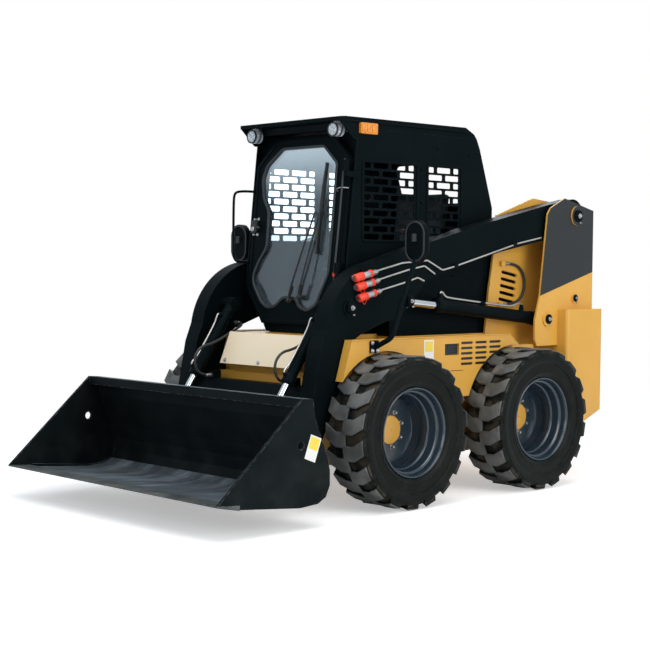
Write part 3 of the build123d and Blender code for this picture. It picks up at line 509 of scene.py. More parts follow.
def choose(piece, test):
    # selects the corners that pass the test, in edit mode
    bpy.ops.mesh.select_all(action="DESELECT")
    bpy.ops.object.mode_set(mode="OBJECT")
    for corner in piece.data.vertices:
        corner.select = test(corner.co)
    bpy.ops.object.mode_set(mode="EDIT")


def change(piece, kind, **values):
    # adds a modifier and applies it
    pick(piece)
    step = piece.modifiers.new(kind.lower(), kind)
    for title, value in values.items():
        setattr(step, title, value)
    bpy.ops.object.modifier_apply(modifier=step.name)
    return piece


def eased(piece, width, segments, angle=30.0):
    return change(piece, "BEVEL", width=width, segments=segments, limit_method="ANGLE",
                  angle_limit=math.radians(angle))


def chain(points, closed):
    # a line of edges grown from one corner; closed makes it a face
    begin()
    bpy.ops.mesh.primitive_plane_add(size=0.02)
    piece = bpy.context.object
    bpy.ops.object.mode_set(mode="EDIT")
    bpy.ops.mesh.merge(type="CENTER")
    bpy.ops.transform.translate(value=tuple(points[0]))
    for before, after in zip(points, points[1:]):
        extrude(Vector(after) - Vector(before))
    selectAll()
    if closed:
        bpy.ops.mesh.edge_face_add()
    return piece


def turned(profile, centre, axis, steps):
    # a profile of (place along the axis, radius) pairs, spun about the axis through centre
    axis = Vector(axis).normalized()
    side = axis.orthogonal().normalized()
    points = [Vector(centre) + axis * along + side * radius for along, radius in profile]
    piece = chain(points, False)
    bpy.ops.mesh.spin(steps=steps, angle=math.tau, center=tuple(centre), axis=tuple(axis))
    selectAll()
    bpy.ops.mesh.remove_doubles(threshold=0.00003)
    return done(piece)


def sheet(points, corner, steps):
    # a flat outline with its corners rounded, still in edit mode
    piece = chain(points, True)
    if corner:
        bpy.ops.mesh.bevel(offset=corner, segments=steps, affect="VERTICES")
        selectAll()
    return piece


def plate(points, depth, edge, segments=2, corner=0.0):
    # a flat outline given thickness, with its corners rounded and its edges eased
    piece = sheet(points, corner, 4)
    extrude(depth)
    done(piece)
    return eased(piece, edge, segments) if edge else piece


def ringPlate(points, width, depth, edge, corner):
    # a band just inside an outline, with thickness
    piece = sheet(points, corner, 5)
    bpy.ops.mesh.inset(thickness=width)
    bpy.ops.mesh.delete(type="FACE")
    selectAll()
    extrude(depth)
    done(piece)
    return eased(piece, edge, 3)


def slab(x, outline, thickness, edge, segments=2, corner=0.0):
    # a plate across the machine, from its outline seen from the side
    return plate([at(x, y, z) for y, z in outline], (thickness, 0.0, 0.0), edge, segments, corner)


def block(size, centre, edge, segments=2):
    begin()
    bpy.ops.mesh.primitive_cube_add(size=1.0, location=centre)
    piece = bpy.context.object
    piece.scale = size
    fixPlace()
    return eased(piece, edge, segments)


def tube(name, points, radius, steps, rim):
    # a round tube as a curve, each bend's points given one by one
    line = bpy.data.curves.new(name, "CURVE")
    line.dimensions = "3D"
    run = line.splines.new("NURBS")
    run.points.add(len(points) - 1)
    for place, point in zip(run.points, points):
        place.co = (*point, 1.0)
    run.order_u = 3
    run.use_endpoint_u = True
    line.resolution_u = steps
    line.bevel_depth = radius
    line.bevel_resolution = rim
    line.use_fill_caps = True
    return newObject(name, line)


def pipe(points, radius):
    pick(tube("pipe", points, radius, 10, 5))
    bpy.ops.object.convert(target="MESH")
    return bpy.context.object


def joined(pieces):
    begin()
    for piece in pieces:
        piece.select_set(True)
    bpy.context.view_layer.objects.active = pieces[0]
    if len(pieces) > 1:
        bpy.ops.object.join()
    return bpy.context.object


def copied(piece):
    pick(piece)
    bpy.ops.object.duplicate()
    return bpy.context.object


def mirrored(piece):
    # the same piece on the machine's other side, with its own mesh
    other = copied(piece)
    other.scale.x = -1.0
    fixPlace()
    edit(other)
    return done(other)


def ring(piece, middle, count, axis=(1.0, 0.0, 0.0)):
    # repeats the piece's mesh round an axis
    edit(piece)
    bpy.ops.mesh.spin(steps=count - 1, dupli=True, angle=math.tau * (count - 1) / count,
                      center=tuple(middle), axis=axis)
    return done(piece)


def bolt(centre, axis, radius, height):
    # a hexagon head on its washer
    axis = Vector(axis).normalized()
    begin()
    bpy.ops.mesh.primitive_cylinder_add(vertices=6, radius=radius, depth=height)
    head = bpy.context.object
    edit(head)
    choose(head, lambda co: co.z > 0)
    bpy.ops.mesh.inset(thickness=radius * 0.16)
    bpy.ops.transform.translate(value=(0.0, 0.0, height * 0.14))
    done(head)
    head.rotation_euler = axis.to_track_quat("Z", "Y").to_euler()
    head.location = Vector(centre) + axis * (height / 2 + 0.002)
    fixPlace()
    washer = turned([(0.0, 0.0), (0.0, radius * 1.45), (0.0016, radius * 1.45), (0.0022, radius * 1.35),
                     (0.0022, 0.0)], centre, axis, 20)
    return joined([head, washer])


def settle(piece, name, finish, body):
    # puts the place into the mesh and gives the piece its name, finish and body
    pick(piece)
    fixPlace()
    bpy.ops.object.shade_smooth_by_angle(angle=smoothAngle)
    piece.name = name
    piece.data.name = name
    piece.data.materials.clear()
    piece.data.materials.append(materials[finish])
    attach(piece, body)
    return piece


def settleSides(pieces, name, finish, body):
    # the pieces and their mirror images as one piece
    piece = joined(pieces)
    return settle(joined([piece, mirrored(piece)]), name, finish, body)


def settlePair(piece, name, finish, body):
    # a left-hand piece and its mirror image, on the left and right bodies of one name
    other = mirrored(piece)
    settle(piece, name + "_left", finish, body + "_left")
    settle(other, name + "_right", finish, body + "_right")


def seenNode(tree):
    # 1 on rays from the camera, also through glass; and 1 on glossy rays
    kinds = newNode(tree, "LightPath", {})
    return sumNode(tree, "MAXIMUM", kinds["Is Camera Ray"], kinds["Is Transmission Ray"]), kinds["Is Glossy Ray"]


floorLook = {"size": 60.0, "colour": (0.88, 0.88, 0.88), "rough": 0.8, "glow": 0.4, "fade": (2.2, 4.6)}


def makeFloor():
    # a pale floor that fades to white away from the machine
    begin()
    bpy.ops.mesh.primitive_plane_add(size=floorLook["size"])
    floor = bpy.context.object
    floor.name = "floor"
    material, tree, shader = newMaterial("floorPale")
    feed(tree, shader, {"Base Color": floorLook["colour"], "Roughness": floorLook["rough"]})
    floor.data.materials.append(material)
    seen = seenNode(tree)[0]
    glow = newNode(tree, "Emission", {"Strength": times(tree, seen, floorLook["glow"])})[0]
    both = newNode(tree, "AddShader", {0: shader.outputs[0], 1: glow})[0]
    reach = newNode(tree, "VectorMath", {0: coordinates(tree)}, operation="LENGTH")["Value"]
    far = spanNode(tree, reach, *floorLook["fade"])
    fade = newNode(tree, "MixShader", {0: times(tree, far, seen), 1: both, 2: newNode(tree, "Emission", {})[0]})[0]
    feed(tree, tree.nodes["Material Output"], {"Surface": fade})


lights = (
    # name, place, size, power, colour
    ("skyPanel", (1.5, -1.5, 7.0), 7.0, 330.0, (1.0, 1.0, 1.0)),
    ("frontPanel", (3.0, -8.0, 3.4), 4.5, 150.0, (0.95, 0.98, 1.0)),
    ("sidePanel", (8.0, 1.0, 3.2), 4.5, 290.0, (1.0, 0.97, 0.93)),
    ("rearPanel", (-5.0, 6.0, 4.0), 5.0, 160.0, (1.0, 1.0, 1.0)),
)
lightAim = Vector((0.0, 0.0, 0.8))
# the sky's strength, what rays from the camera and glossy rays add to it, and its colour on other rays
sky = {"strength": 0.4, "seen": 0.6, "glossy": 0.35, "colour": (0.86, 0.94, 1.0)}


def makeLights():
    for name, place, size, power, colour in lights:
        lamp = bpy.data.lights.new(name, "AREA")
        lamp.shape = "SQUARE"
        lamp.size = size
        lamp.energy = power
        lamp.color = colour
        holder = newObject(name, lamp)
        holder.location = place
        holder.rotation_euler = (lightAim - Vector(place)).to_track_quat("-Z", "Y").to_euler()
    world = bpy.data.worlds.new("paleSky")
    bpy.context.scene.world = world
    world.use_nodes = True
    tree = world.node_tree
    seen, glossy = seenNode(tree)
    strength = sumNode(tree, "ADD", times(tree, seen, sky["seen"]), sky["strength"])
    strength = sumNode(tree, "ADD", strength, times(tree, glossy, sky["glossy"]))
    colour = mixNode(tree, seen, sky["colour"], (1.0, 1.0, 1.0))
    feed(tree, tree.nodes["Background"], {"Color": colour, "Strength": strength})


camera = {"azimuth": 46.58, "elevation": 2.88, "roll": 0.45, "distance": 8.3468, "aim": (0.0, 0.1654, 0.883),
          "lens": 79.18, "shift": (-0.00385, 0.01954)}


def makeCamera():
    # the camera stands ahead of the machine on its left and looks at a point behind the front axle
    turn = math.radians(camera["azimuth"])
    rise = math.radians(camera["elevation"])
    aim = Vector(camera["aim"]) + Vector((0.0, frontAxle, 0.0))
    out = Vector((math.sin(turn) * math.cos(rise), -math.cos(turn) * math.cos(rise), math.sin(rise)))
    lens = bpy.data.cameras.new("camera")
    lens.sensor_width = 36.0
    lens.lens = camera["lens"]
    lens.shift_x, lens.shift_y = camera["shift"]
    holder = newObject("camera", lens)
    view = (-out).to_track_quat("-Z", "Y").to_matrix()
    holder.matrix_world = (Matrix.Translation(aim + out * camera["distance"])
                           @ (view @ Matrix.Rotation(math.radians(camera["roll"]), 3, "Z")).to_4x4())
    bpy.context.scene.camera = holder


makeFloor()
makeLights()
makeCamera()
bpy.context.scene.view_settings.view_transform = "Standard"
print("stage done")


# wheels

tyre = {"mid": 0.735, "lugCount": 18, "lugTop": 0.411, "lugRoot": 0.384, "lugWidth": 0.09,
        "lugLead": 0.044, "lugTip": -0.014, "lugBend": 0.06, "lugEnd": 0.139, "taper": 0.9, "edge": 0.0022}
tyreProfile = (
    # distance from the tyre's middle, radius: from the inner bead over the tread to the outer bead and back
    (-0.113, 0.2365), (-0.119, 0.248), (-0.131, 0.262), (-0.14, 0.285), (-0.1445, 0.312), (-0.145, 0.34),
    (-0.142, 0.362), (-0.139, 0.368), (-0.136, 0.384), (-0.126, 0.3905), (-0.09, 0.3935), (0.0, 0.394),
    (0.09, 0.3935), (0.126, 0.3905), (0.136, 0.385), (0.138, 0.376), (0.144, 0.371), (0.145, 0.364),
    (0.1405, 0.335), (0.139, 0.331), (0.134, 0.329), (0.1325, 0.323), (0.1345, 0.3), (0.133, 0.282),
    (0.133, 0.276), (0.1365, 0.273), (0.135, 0.266), (0.127, 0.252), (0.119, 0.244), (0.113, 0.2365),
    (0.0, 0.2365), (-0.113, 0.2365))
rimProfile = (
    # place across the machine, radius: the barrel, the outer flange, the stepped well, the disc and its back
    (0.62, 0.224), (0.62, 0.2355), (0.845, 0.2355), (0.852, 0.24), (0.858, 0.244), (0.8615, 0.241),
    (0.86, 0.235), (0.852, 0.23), (0.838, 0.2275), (0.824, 0.226), (0.819, 0.222), (0.816, 0.215),
    (0.808, 0.211), (0.78, 0.2095), (0.772, 0.2065), (0.769, 0.201), (0.762, 0.1965), (0.72, 0.1945),
    (0.708, 0.199), (0.696, 0.195), (0.686, 0.19), (0.67, 0.186), (0.662, 0.179), (0.66, 0.16),
    (0.6595, 0.125), (0.661, 0.078), (0.661, 0.0), (0.645, 0.0), (0.643, 0.201), (0.655, 0.224),
    (0.62, 0.224))
hub = {"studCircle": 0.1015, "studs": 8, "phase": 0.297}


def makeLugs(row):
    # one lug shaped from its outline, then set round the tread; row is 1 outside and -1 inside
    middle = Vector((tyre["mid"], frontAxle, axleHeight))
    foot = -(tyre["lugWidth"] + tyre["lugLead"]) / 2
    bend, end, width = tyre["lugBend"], tyre["lugEnd"], tyre["lugWidth"]
    outline = ((tyre["lugTip"], foot + 0.012), (tyre["lugTip"] + 0.016, foot), (bend, foot),
               (end, foot + tyre["lugLead"]), (end, foot + tyre["lugLead"] + width), (bend, foot + width),
               (tyre["lugTip"] + 0.01, foot + width), (tyre["lugTip"], foot + width - 0.016))
    piece = chain([middle + Vector((row * x, -tyre["lugRoot"], along)) for x, along in outline], True)
    lift = tyre["lugTop"] - tyre["lugRoot"]
    extrude((0.0, -lift, 0.0))
    top = middle + Vector((row * 0.055, -tyre["lugTop"], 0.0))
    bpy.ops.transform.resize(value=(0.97, 1.0, tyre["taper"]), center_override=tuple(top))
    root = middle.y - tyre["lugRoot"] - 0.001
    choose(piece, lambda co: co.y > root and row * (co.x - middle.x) > end - 0.004)
    bpy.ops.transform.translate(value=(row * 0.0025, 0.013, 0.0))      # the foot runs down over the shoulder
    done(piece)
    eased(piece, tyre["edge"], 2, 25.0)
    if row > 0:
        edit(piece)
        bpy.ops.transform.rotate(value=math.pi / tyre["lugCount"], orient_axis="X", center_override=tuple(middle))
        done(piece)
    return ring(piece, middle, tyre["lugCount"])


def onWheels(piece, name, finish, replaced=None):
    # the front left wheel's piece and its copies on the other three wheels
    for place in places:
        other = copied(piece)
        other.location.y = axleY[place] - frontAxle
        fixPlace()
        if place.endswith("right"):
            first = other
            other = mirrored(first)
            bpy.data.objects.remove(first)
        settle(other, name + "_" + place, finish, "wheel_" + place)
        if replaced:
            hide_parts(replaced + "_" + place)
    bpy.data.objects.remove(piece)


def makeWheels():
    middle = Vector((0.0, frontAxle, axleHeight))
    carcass = turned([(tyre["mid"] + across, radius) for across, radius in tyreProfile], middle, (1, 0, 0), 96)
    onWheels(joined([carcass, makeLugs(1), makeLugs(-1)]), "tyre", "tyreRubber", "tyre")

    shell = turned(rimProfile, middle, (1, 0, 0), 72)
    drum = turned([(0.645, 0.0), (0.645, 0.12), (0.585, 0.12), (0.585, 0.04), (0.475, 0.04), (0.475, 0.0)],
                  middle, (1, 0, 0), 32)
    onWheels(joined([shell, drum]), "rim", "rimPaint", "rim")

    cap = turned([(0.659, 0.0), (0.659, 0.079), (0.674, 0.079), (0.6775, 0.077), (0.679, 0.0735),
                  (0.6793, 0.0075), (0.676, 0.006), (0.676, 0.0)], middle, (1, 0, 0), 48)
    onWheels(cap, "hubCap", "amberPaint")

    stud = middle + Vector((0.0, math.cos(hub["phase"]), math.sin(hub["phase"]))) * hub["studCircle"]
    nut = turned([(0.6595, 0.0), (0.6595, 0.013), (0.6615, 0.013), (0.662, 0.01), (0.67, 0.0098),
                  (0.675, 0.0085), (0.6785, 0.0055), (0.6795, 0.0)], stud, (1, 0, 0), 20)
    onWheels(ring(nut, middle, hub["studs"]), "wheelNuts", "pipeSteel")

    valve = turned([(0.742, 0.0), (0.742, 0.007), (0.756, 0.007), (0.758, 0.0042), (0.778, 0.004),
                    (0.779, 0.0052), (0.79, 0.0052), (0.791, 0.004), (0.791, 0.0)],
                   middle + Vector((-0.045, -0.025, 0.189)), (1, 0, 0), 16)
    onWheels(valve, "valveStem", "blackPlastic")


makeWheels()
print("wheels done")


# hoses: each passes the same points as its solid

hoses = {
    "tilt_hose": {"diameter": 0.015, "length": 0.7, "body": "lift_arms", "points": (
        (0.462, -0.15, 0.962), (0.404, -0.15, 0.962), (0.362, -0.186, 0.949), (0.349, -0.262, 0.919),
        (0.347, -0.345, 0.88), (0.346, -0.425, 0.85), (0.345, -0.495, 0.84), (0.344, -0.544, 0.791),
        (0.343, -0.544, 0.721), (0.343, -0.495, 0.672), (0.343, -0.425, 0.672))},
    "tower_hose": {"diameter": 0.016, "length": 0.55, "body": "frame", "points": (
        (0.467, 1.2, 1.325), (0.467, 1.285, 1.325), (0.467, 1.36, 1.295), (0.467, 1.398, 1.228),
        (0.467, 1.392, 1.15), (0.467, 1.34, 1.094), (0.467, 1.262, 1.076), (0.467, 1.18, 1.076))},
}


def makeHoses():
    for name, hose in hoses.items():
        for side, sign in (("left", 1), ("right", -1)):
            points = [at(sign * x, y, z) for x, y, z in hose["points"]]
            piece = tube(name, points, hose["diameter"] / 2, 16, 6)
            piece.name = name + "Braid_" + side
            piece.data.materials.append(materials["hoseBraid"])
            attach(piece, hose["body"])
            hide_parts(name + "_" + side)


def ferrule(end, inward, radius):
    # a swaged sleeve and its nut where a hose meets its port
    return turned([(0.0, 0.0), (0.0, radius * 1.55), (0.012, radius * 1.55), (0.013, radius * 1.2),
                   (0.016, radius * 1.2), (0.017, radius * 1.38), (0.038, radius * 1.38), (0.04, radius * 1.1),
                   (0.04, 0.0)], end, inward, 24)


def makeHoseEnds():
    for name, hose in hoses.items():
        points = route(*hose["points"])
        ends = [ferrule(end, after - end, hose["diameter"] / 2) for end, after in (points[:2], points[:-3:-1])]
        settleSides(ends, name.replace("_h", "H") + "Ends", "boltSteel", hose["body"])


# the steel pipes and their quick couplers on the left arm

couplers = {
    "x": 0.604,
    # each coupler's foot and the place a little further on that gives its direction
    "runs": (((-0.211, 1.236), (-0.052, 1.271)), ((-0.195, 1.187), (-0.043, 1.222)),
             ((-0.18, 1.128), (-0.035, 1.163))),
    # profiles of (place along the coupler, radius)
    "cap": ((0.0, 0.0), (0.0, 0.0165), (0.003, 0.0205), (0.008, 0.022), (0.046, 0.0222), (0.048, 0.0205),
            (0.051, 0.0205), (0.052, 0.0226), (0.061, 0.0226), (0.062, 0.019), (0.062, 0.0)),
    "collar": ((0.112, 0.0), (0.112, 0.019), (0.114, 0.0212), (0.129, 0.0212), (0.131, 0.019), (0.131, 0.0)),
    "sleeve": ((0.06, 0.0), (0.06, 0.0176), (0.07, 0.0186), (0.078, 0.0176), (0.084, 0.0186), (0.091, 0.0176),
               (0.097, 0.0186), (0.104, 0.0176), (0.113, 0.0176), (0.113, 0.0)),
    "nut": ((0.13, 0.0), (0.13, 0.0115), (0.145, 0.0115), (0.147, 0.015), (0.168, 0.015), (0.17, 0.0115),
            (0.18, 0.0085), (0.18, 0.0)),
    # the strap that holds a cap: x, and y and z from the coupler's foot
    "strap": ((0.612, 0.018, -0.012), (0.614, 0.034, -0.034), (0.606, 0.052, -0.026), (0.6, 0.068, -0.006),
              (0.606, 0.066, 0.012)),
}


def makeCouplers():
    caps, sleeves, straps = [], [], []
    for (y, z), after in couplers["runs"]:
        start = at(couplers["x"], y, z)
        along = at(couplers["x"], *after) - start
        caps += [turned(couplers[part], start, along, 28) for part in ("cap", "collar")]
        sleeves += [turned(couplers["sleeve"], start, along, 28), turned(couplers["nut"], start, along, 6)]
        straps.append(pipe([at(x, y + aft, z + up) for x, aft, up in couplers["strap"]], 0.0017))
    settle(joined(caps), "couplerCaps", "capRed", "lift_arms")
    settle(joined(sleeves), "couplerSleeves", "boltSteel", "lift_arms")
    settle(joined(straps), "capStraps", "capRed", "lift_arms")


# cylinders: gland nuts, weld beads, ports and the hard pipe over each barrel

lift = {"name": "lift", "x": 0.526, "base": (1.439, 0.987), "eye": (0.236, 1.11), "barrel": 0.93,
        "radius": 0.038, "rod": 0.025, "pipeRise": 0.068, "pipeRadius": 0.0065,
        # the pipe's bends: how far along the cylinder, how far out from the pipe's line
        "pipe": ((0.15, -0.012), (0.15, 0.01), (0.175, 0.014), (0.24, -0.012), (0.3, -0.016), (0.8, -0.016),
                 (0.85, -0.012), (0.875, 0.012), (0.895, 0.012), (0.895, -0.012))}
tilt = {"name": "tilt", "x": 0.397, "base": (-0.225, 1.078), "eye": (-0.64, 0.48), "barrel": 0.49,
        "radius": 0.032, "rod": 0.019, "pipeRise": 0.05, "pipeRadius": 0.005,
        "pipe": ((0.105, -0.01), (0.105, 0.006), (0.125, 0.006), (0.17, -0.006), (0.4, -0.006), (0.43, 0.006),
                 (0.455, 0.006), (0.455, -0.01))}


def barrelLines(cylinder):
    # the foot of a cylinder, its direction, and the direction its ports face
    base = at(cylinder["x"], *cylinder["base"])
    along = (at(cylinder["x"], *cylinder["eye"]) - base).normalized()
    return base, along, along.cross(Vector((1.0, 0.0, 0.0))).normalized()


def barrelTrim(cylinder, ports):
    base, along, up = barrelLines(cylinder)
    end, radius, rod = cylinder["barrel"], cylinder["radius"], cylinder["rod"]
    gland = turned([(end - 0.052, 0.0), (end - 0.052, radius + 0.002), (end - 0.046, radius + 0.0045),
                    (end - 0.004, radius + 0.0045), (end + 0.001, radius + 0.001), (end + 0.001, rod + 0.007),
                    (end + 0.007, rod + 0.005), (end + 0.007, rod + 0.0012), (end, rod + 0.0012), (end, 0.0)],
                   base, along, 40)
    weld = turned([(0.058, 0.0), (0.058, radius + 0.0005), (0.062, radius + 0.003), (0.07, radius + 0.003),
                   (0.074, radius + 0.0005), (0.074, 0.0)], base, along, 40)
    name, body = cylinder["name"], cylinder["name"] + "_cylinder"
    settlePair(joined([gland, weld] + ports), name + "Trim", "blackPaint", body)
    top = base + up * cylinder["pipeRise"]
    run = [top + along * reach + up * rise for reach, rise in cylinder["pipe"]]
    settlePair(pipe(run, cylinder["pipeRadius"]), name + "Pipe", "pipeSteel", body)


def makeCylinders():
    base, along, up = barrelLines(lift)
    ports = []
    for reach in (0.15, 0.895):
        centre = base + along * reach + up * (lift["radius"] + 0.008)
        ports.append(turned([(-0.012, 0.0), (-0.012, 0.015), (0.01, 0.015), (0.012, 0.0125), (0.012, 0.0)],
                            centre, up, 24))
        ports.append(turned([(0.012, 0.0), (0.012, 0.0115), (0.024, 0.0115), (0.026, 0.009), (0.026, 0.0)],
                            centre, up, 6))
    ports.append(block((0.034, 0.03, 0.022), base + along * 0.52 + up * (lift["radius"] + 0.01), 0.003))
    barrelTrim(lift, ports)

    base, along, up = barrelLines(tilt)
    barrelTrim(tilt, [turned([(0.024, 0.0), (0.024, 0.013), (0.042, 0.013), (0.044, 0.011), (0.05, 0.011),
                              (0.052, 0.008), (0.052, 0.0)], base + along * reach, up, 20)
                      for reach in (0.105, 0.455)])


# pin ends on the arms and the towers

def pinEnd(x, y, z, radius):
    # retaining plate and pin face, and their bolt with a grease fitting below
    centre = at(x, y, z)
    collar = turned([(0.0, 0.0), (0.0, radius * 1.25), (0.004, radius * 1.25), (0.006, radius * 1.15),
                     (0.006, radius * 0.8), (0.01, radius * 0.76), (0.01, radius * 0.1), (0.01, 0.0)],
                    centre, (1, 0, 0), 40)
    fitting = turned([(0.0, 0.0), (0.0, 0.005), (0.006, 0.005), (0.007, 0.0032), (0.012, 0.0032), (0.013, 0.0)],
                     centre + Vector((0.002, 0.012, -radius * 1.45)), (1, 0, 0), 12)
    return collar, joined([bolt(centre + Vector((0.01, 0.0, 0.0)), (1, 0, 0), radius * 0.36, 0.008), fitting])


pins = {
    # body, and for each pin its face, y, z and radius
    "arm": ("lift_arms", ((0.598, 0.236, 1.11, 0.022), (0.598, -0.225, 1.078, 0.026),
                          (0.58, -0.53, 0.29, 0.03))),
    "tower": ("frame", ((0.626, 1.725, 1.625, 0.03), (0.626, 1.439, 0.987, 0.024), (0.622, 1.708, 1.113, 0.018)))}


def makePins():
    for label, (body, spots) in pins.items():
        collars, bolts = zip(*[pinEnd(*spot) for spot in spots])
        settleSides(collars, label + "PinCollars", "blackPaint", body)
        settleSides(bolts, label + "PinBolts", "boltSteel", body)


makeHoses()
makeHoseEnds()
makeCouplers()
makeCylinders()
makePins()
print("hydraulics done")


# front door: places on it are (across, up the slope from the sill, out of its face)

slope = {"foot": (-0.108, 1.162), "head": (-0.014, 2.062)}
slopeUp = (at(0.0, *slope["head"]) - at(0.0, *slope["foot"])).normalized()
slopeOut = Vector((1.0, 0.0, 0.0)).cross(slopeUp)
opening = ((0.285, 0.1), (0.284, 0.712), (0.164, 0.818), (-0.184, 0.818), (-0.311, 0.721), (-0.342, 0.642),
           (-0.32, 0.529), (-0.267, 0.453), (-0.26, 0.25), (-0.324, 0.163), (-0.361, 0.082), (-0.348, 0.026),
           (-0.264, -0.077), (-0.205, -0.106), (-0.133, -0.092), (-0.075, -0.042), (0.024, -0.046),
           (0.057, -0.093), (0.13, -0.113), (0.204, -0.078))
seal = {"width": 0.018, "middle": 0.35, "grow": 1.022, "back": -0.012, "depth": 0.02, "corner": 0.022}
wiper = {"pivots": ((-0.01, -0.059), (0.077, -0.039)), "joints": ((0.15, 0.448), (0.18, 0.418)),
         "blade": ((0.201, 0.722), (0.176, 0.205)), "rod": 0.0055, "hub": 0.0085, "bar": 0.0075,
         "bladeRadius": 0.006}


def onDoor(across, up, out=0.0):
    return at(across, *slope["foot"]) + slopeUp * up + slopeOut * out


def doorRun(*points):
    return [onDoor(*point) for point in points]


def makeDoor():
    grown = [onDoor(x * seal["grow"], seal["middle"] + (up - seal["middle"]) * seal["grow"], seal["back"])
             for x, up in opening]
    band = ringPlate(grown, seal["width"], slopeOut * seal["depth"], 0.005, seal["corner"])
    settle(band, "doorSeal", "sealRubber", "front_door")

    leaf = ((0.398, -0.01), (0.398, 0.722), (0.248, 0.868), (-0.248, 0.868), (-0.398, 0.722), (-0.398, -0.01),
            (-0.247, -0.19), (0.247, -0.19))
    lip = ringPlate([onDoor(x, up, -0.001) for x, up in leaf], 0.02, slopeOut * 0.006, 0.002, 0.016)
    settle(lip, "doorLip", "blackPaint", "front_door")
    makeWiper()

    case = plate(doorRun((-0.392, 0.33), (-0.346, 0.33), (-0.346, 0.404), (-0.392, 0.404)), slopeOut * 0.022,
                 0.004, 3, 0.008)
    grip = pipe(doorRun((-0.35, 0.372, 0.016), (-0.35, 0.372, 0.038), (-0.322, 0.366, 0.042),
                        (-0.29, 0.355, 0.04)), 0.0065)
    lock = turned([(0.02, 0.0), (0.02, 0.014), (0.027, 0.014), (0.029, 0.012), (0.029, 0.0)],
                  onDoor(-0.372, 0.352), slopeOut, 24)
    settle(joined([case, grip]), "doorLatch", "blackPlastic", "front_door")
    settle(lock, "doorLock", "boltSteel", "front_door")

    strut = pipe(doorRun((0.35, 0.735, 0.01), (0.353, 0.7, 0.018), (0.353, 0.56, 0.018), (0.35, 0.23, 0.018),
                         (0.345, 0.07, 0.018), (0.344, 0.045, 0.01)), 0.0062)
    settle(strut, "grabTube", "sealRubber", "front_door")
    tips = [turned([(0.0, 0.0), (0.0, 0.0085), (0.02, 0.0085), (0.024, 0.006), (0.024, 0.0)],
                   onDoor(x, up, 0.018), slopeUp, 16) for x, up in ((0.3525, 0.7), (0.346, 0.08))]
    settle(joined(tips), "grabTips", "capRed", "front_door")
    hook = pipe(doorRun((0.306, 0.555, 0.004), (0.308, 0.566, 0.02), (0.33, 0.573, 0.022), (0.368, 0.574, 0.018),
                        (0.392, 0.572, 0.004)), 0.0035)
    heads = [bolt(spot, slopeOut, 0.0065, 0.005) for spot in
             doorRun((0.366, 0.7), (0.366, 0.672), (0.366, 0.13), (0.366, 0.102), (-0.384, 0.322),
                     (-0.352, 0.322), (-0.384, 0.412), (-0.352, 0.412))]
    settle(joined([hook] + heads), "doorFixings", "boltSteel", "front_door")


def makeWiper():
    # two arms on their pivots with a bar between their ends, and the blade
    arms = []
    for (pivotX, pivotUp), (jointX, jointUp) in zip(wiper["pivots"], wiper["joints"]):
        foot, joint = onDoor(pivotX, pivotUp, 0.02), onDoor(jointX, jointUp, 0.016)
        along = joint - foot
        arms.append(pipe([foot, foot + along * 0.08 + slopeOut * 0.012, foot + along * 0.25 + slopeOut * 0.012,
                          foot + along * 0.9 + slopeOut * 0.004, joint], wiper["rod"]))
        arms.append(turned([(0.0, 0.0), (0.0, 0.017), (0.016, 0.016), (0.02, 0.012), (0.03, 0.0115),
                            (0.033, 0.008), (0.033, 0.0)], onDoor(pivotX, pivotUp), slopeOut, 24))
        arms.append(pipe([foot, foot + along * 0.08, foot + along * 0.16], wiper["hub"]))
    left, right = (onDoor(x, up, 0.016) for x, up in wiper["joints"])
    arms.append(pipe([left - slopeUp * 0.006, (left + right) / 2, right + slopeUp * 0.006], wiper["bar"]))
    settle(joined(arms), "wiperArms", "blackPlastic", "front_door")

    top, low = (onDoor(x, up, 0.004) for x, up in wiper["blade"])
    run = (top - low).normalized()
    back = pipe([low + slopeOut * 0.004, low + run * 0.1 + slopeOut * 0.01, (low + top) / 2 + slopeOut * 0.013,
                 top - run * 0.1 + slopeOut * 0.01, top + slopeOut * 0.004], wiper["bladeRadius"])
    side = run.cross(slopeOut) * 0.0035
    edge = plate([low - side, low + side, top + side, top - side], slopeOut * -0.013, 0.0008)
    settle(joined([back, edge]), "wiperBlade", "blackPlastic", "front_door")


# cab shell

lamp = {"x": 0.343, "y": -0.128, "z": 2.05,
        # profiles of (place ahead of the lamp's middle, radius)
        "bezel": ((-0.004, 0.0), (-0.004, 0.0385), (0.004, 0.04), (0.008, 0.039), (0.008, 0.0345),
                  (0.004, 0.033), (0.004, 0.0)),
        "lens": ((0.003, 0.0), (0.003, 0.0335), (0.006, 0.032), (0.0085, 0.024), (0.0095, 0.0)),
        "cell": ((0.006, 0.0), (0.006, 0.0082), (0.0115, 0.0076), (0.013, 0.005), (0.013, 0.0)),
        "yoke": ((-0.046, 0.03, 0.044), (-0.046, 0.026, 0.0), (-0.034, 0.026, -0.034), (0.034, 0.026, -0.034),
                 (0.046, 0.026, 0.0), (0.046, 0.03, 0.044))}
marker = {"y": 0.06, "z": 2.062, "face": 0.438, "segments": 3, "length": 0.118, "height": 0.05}


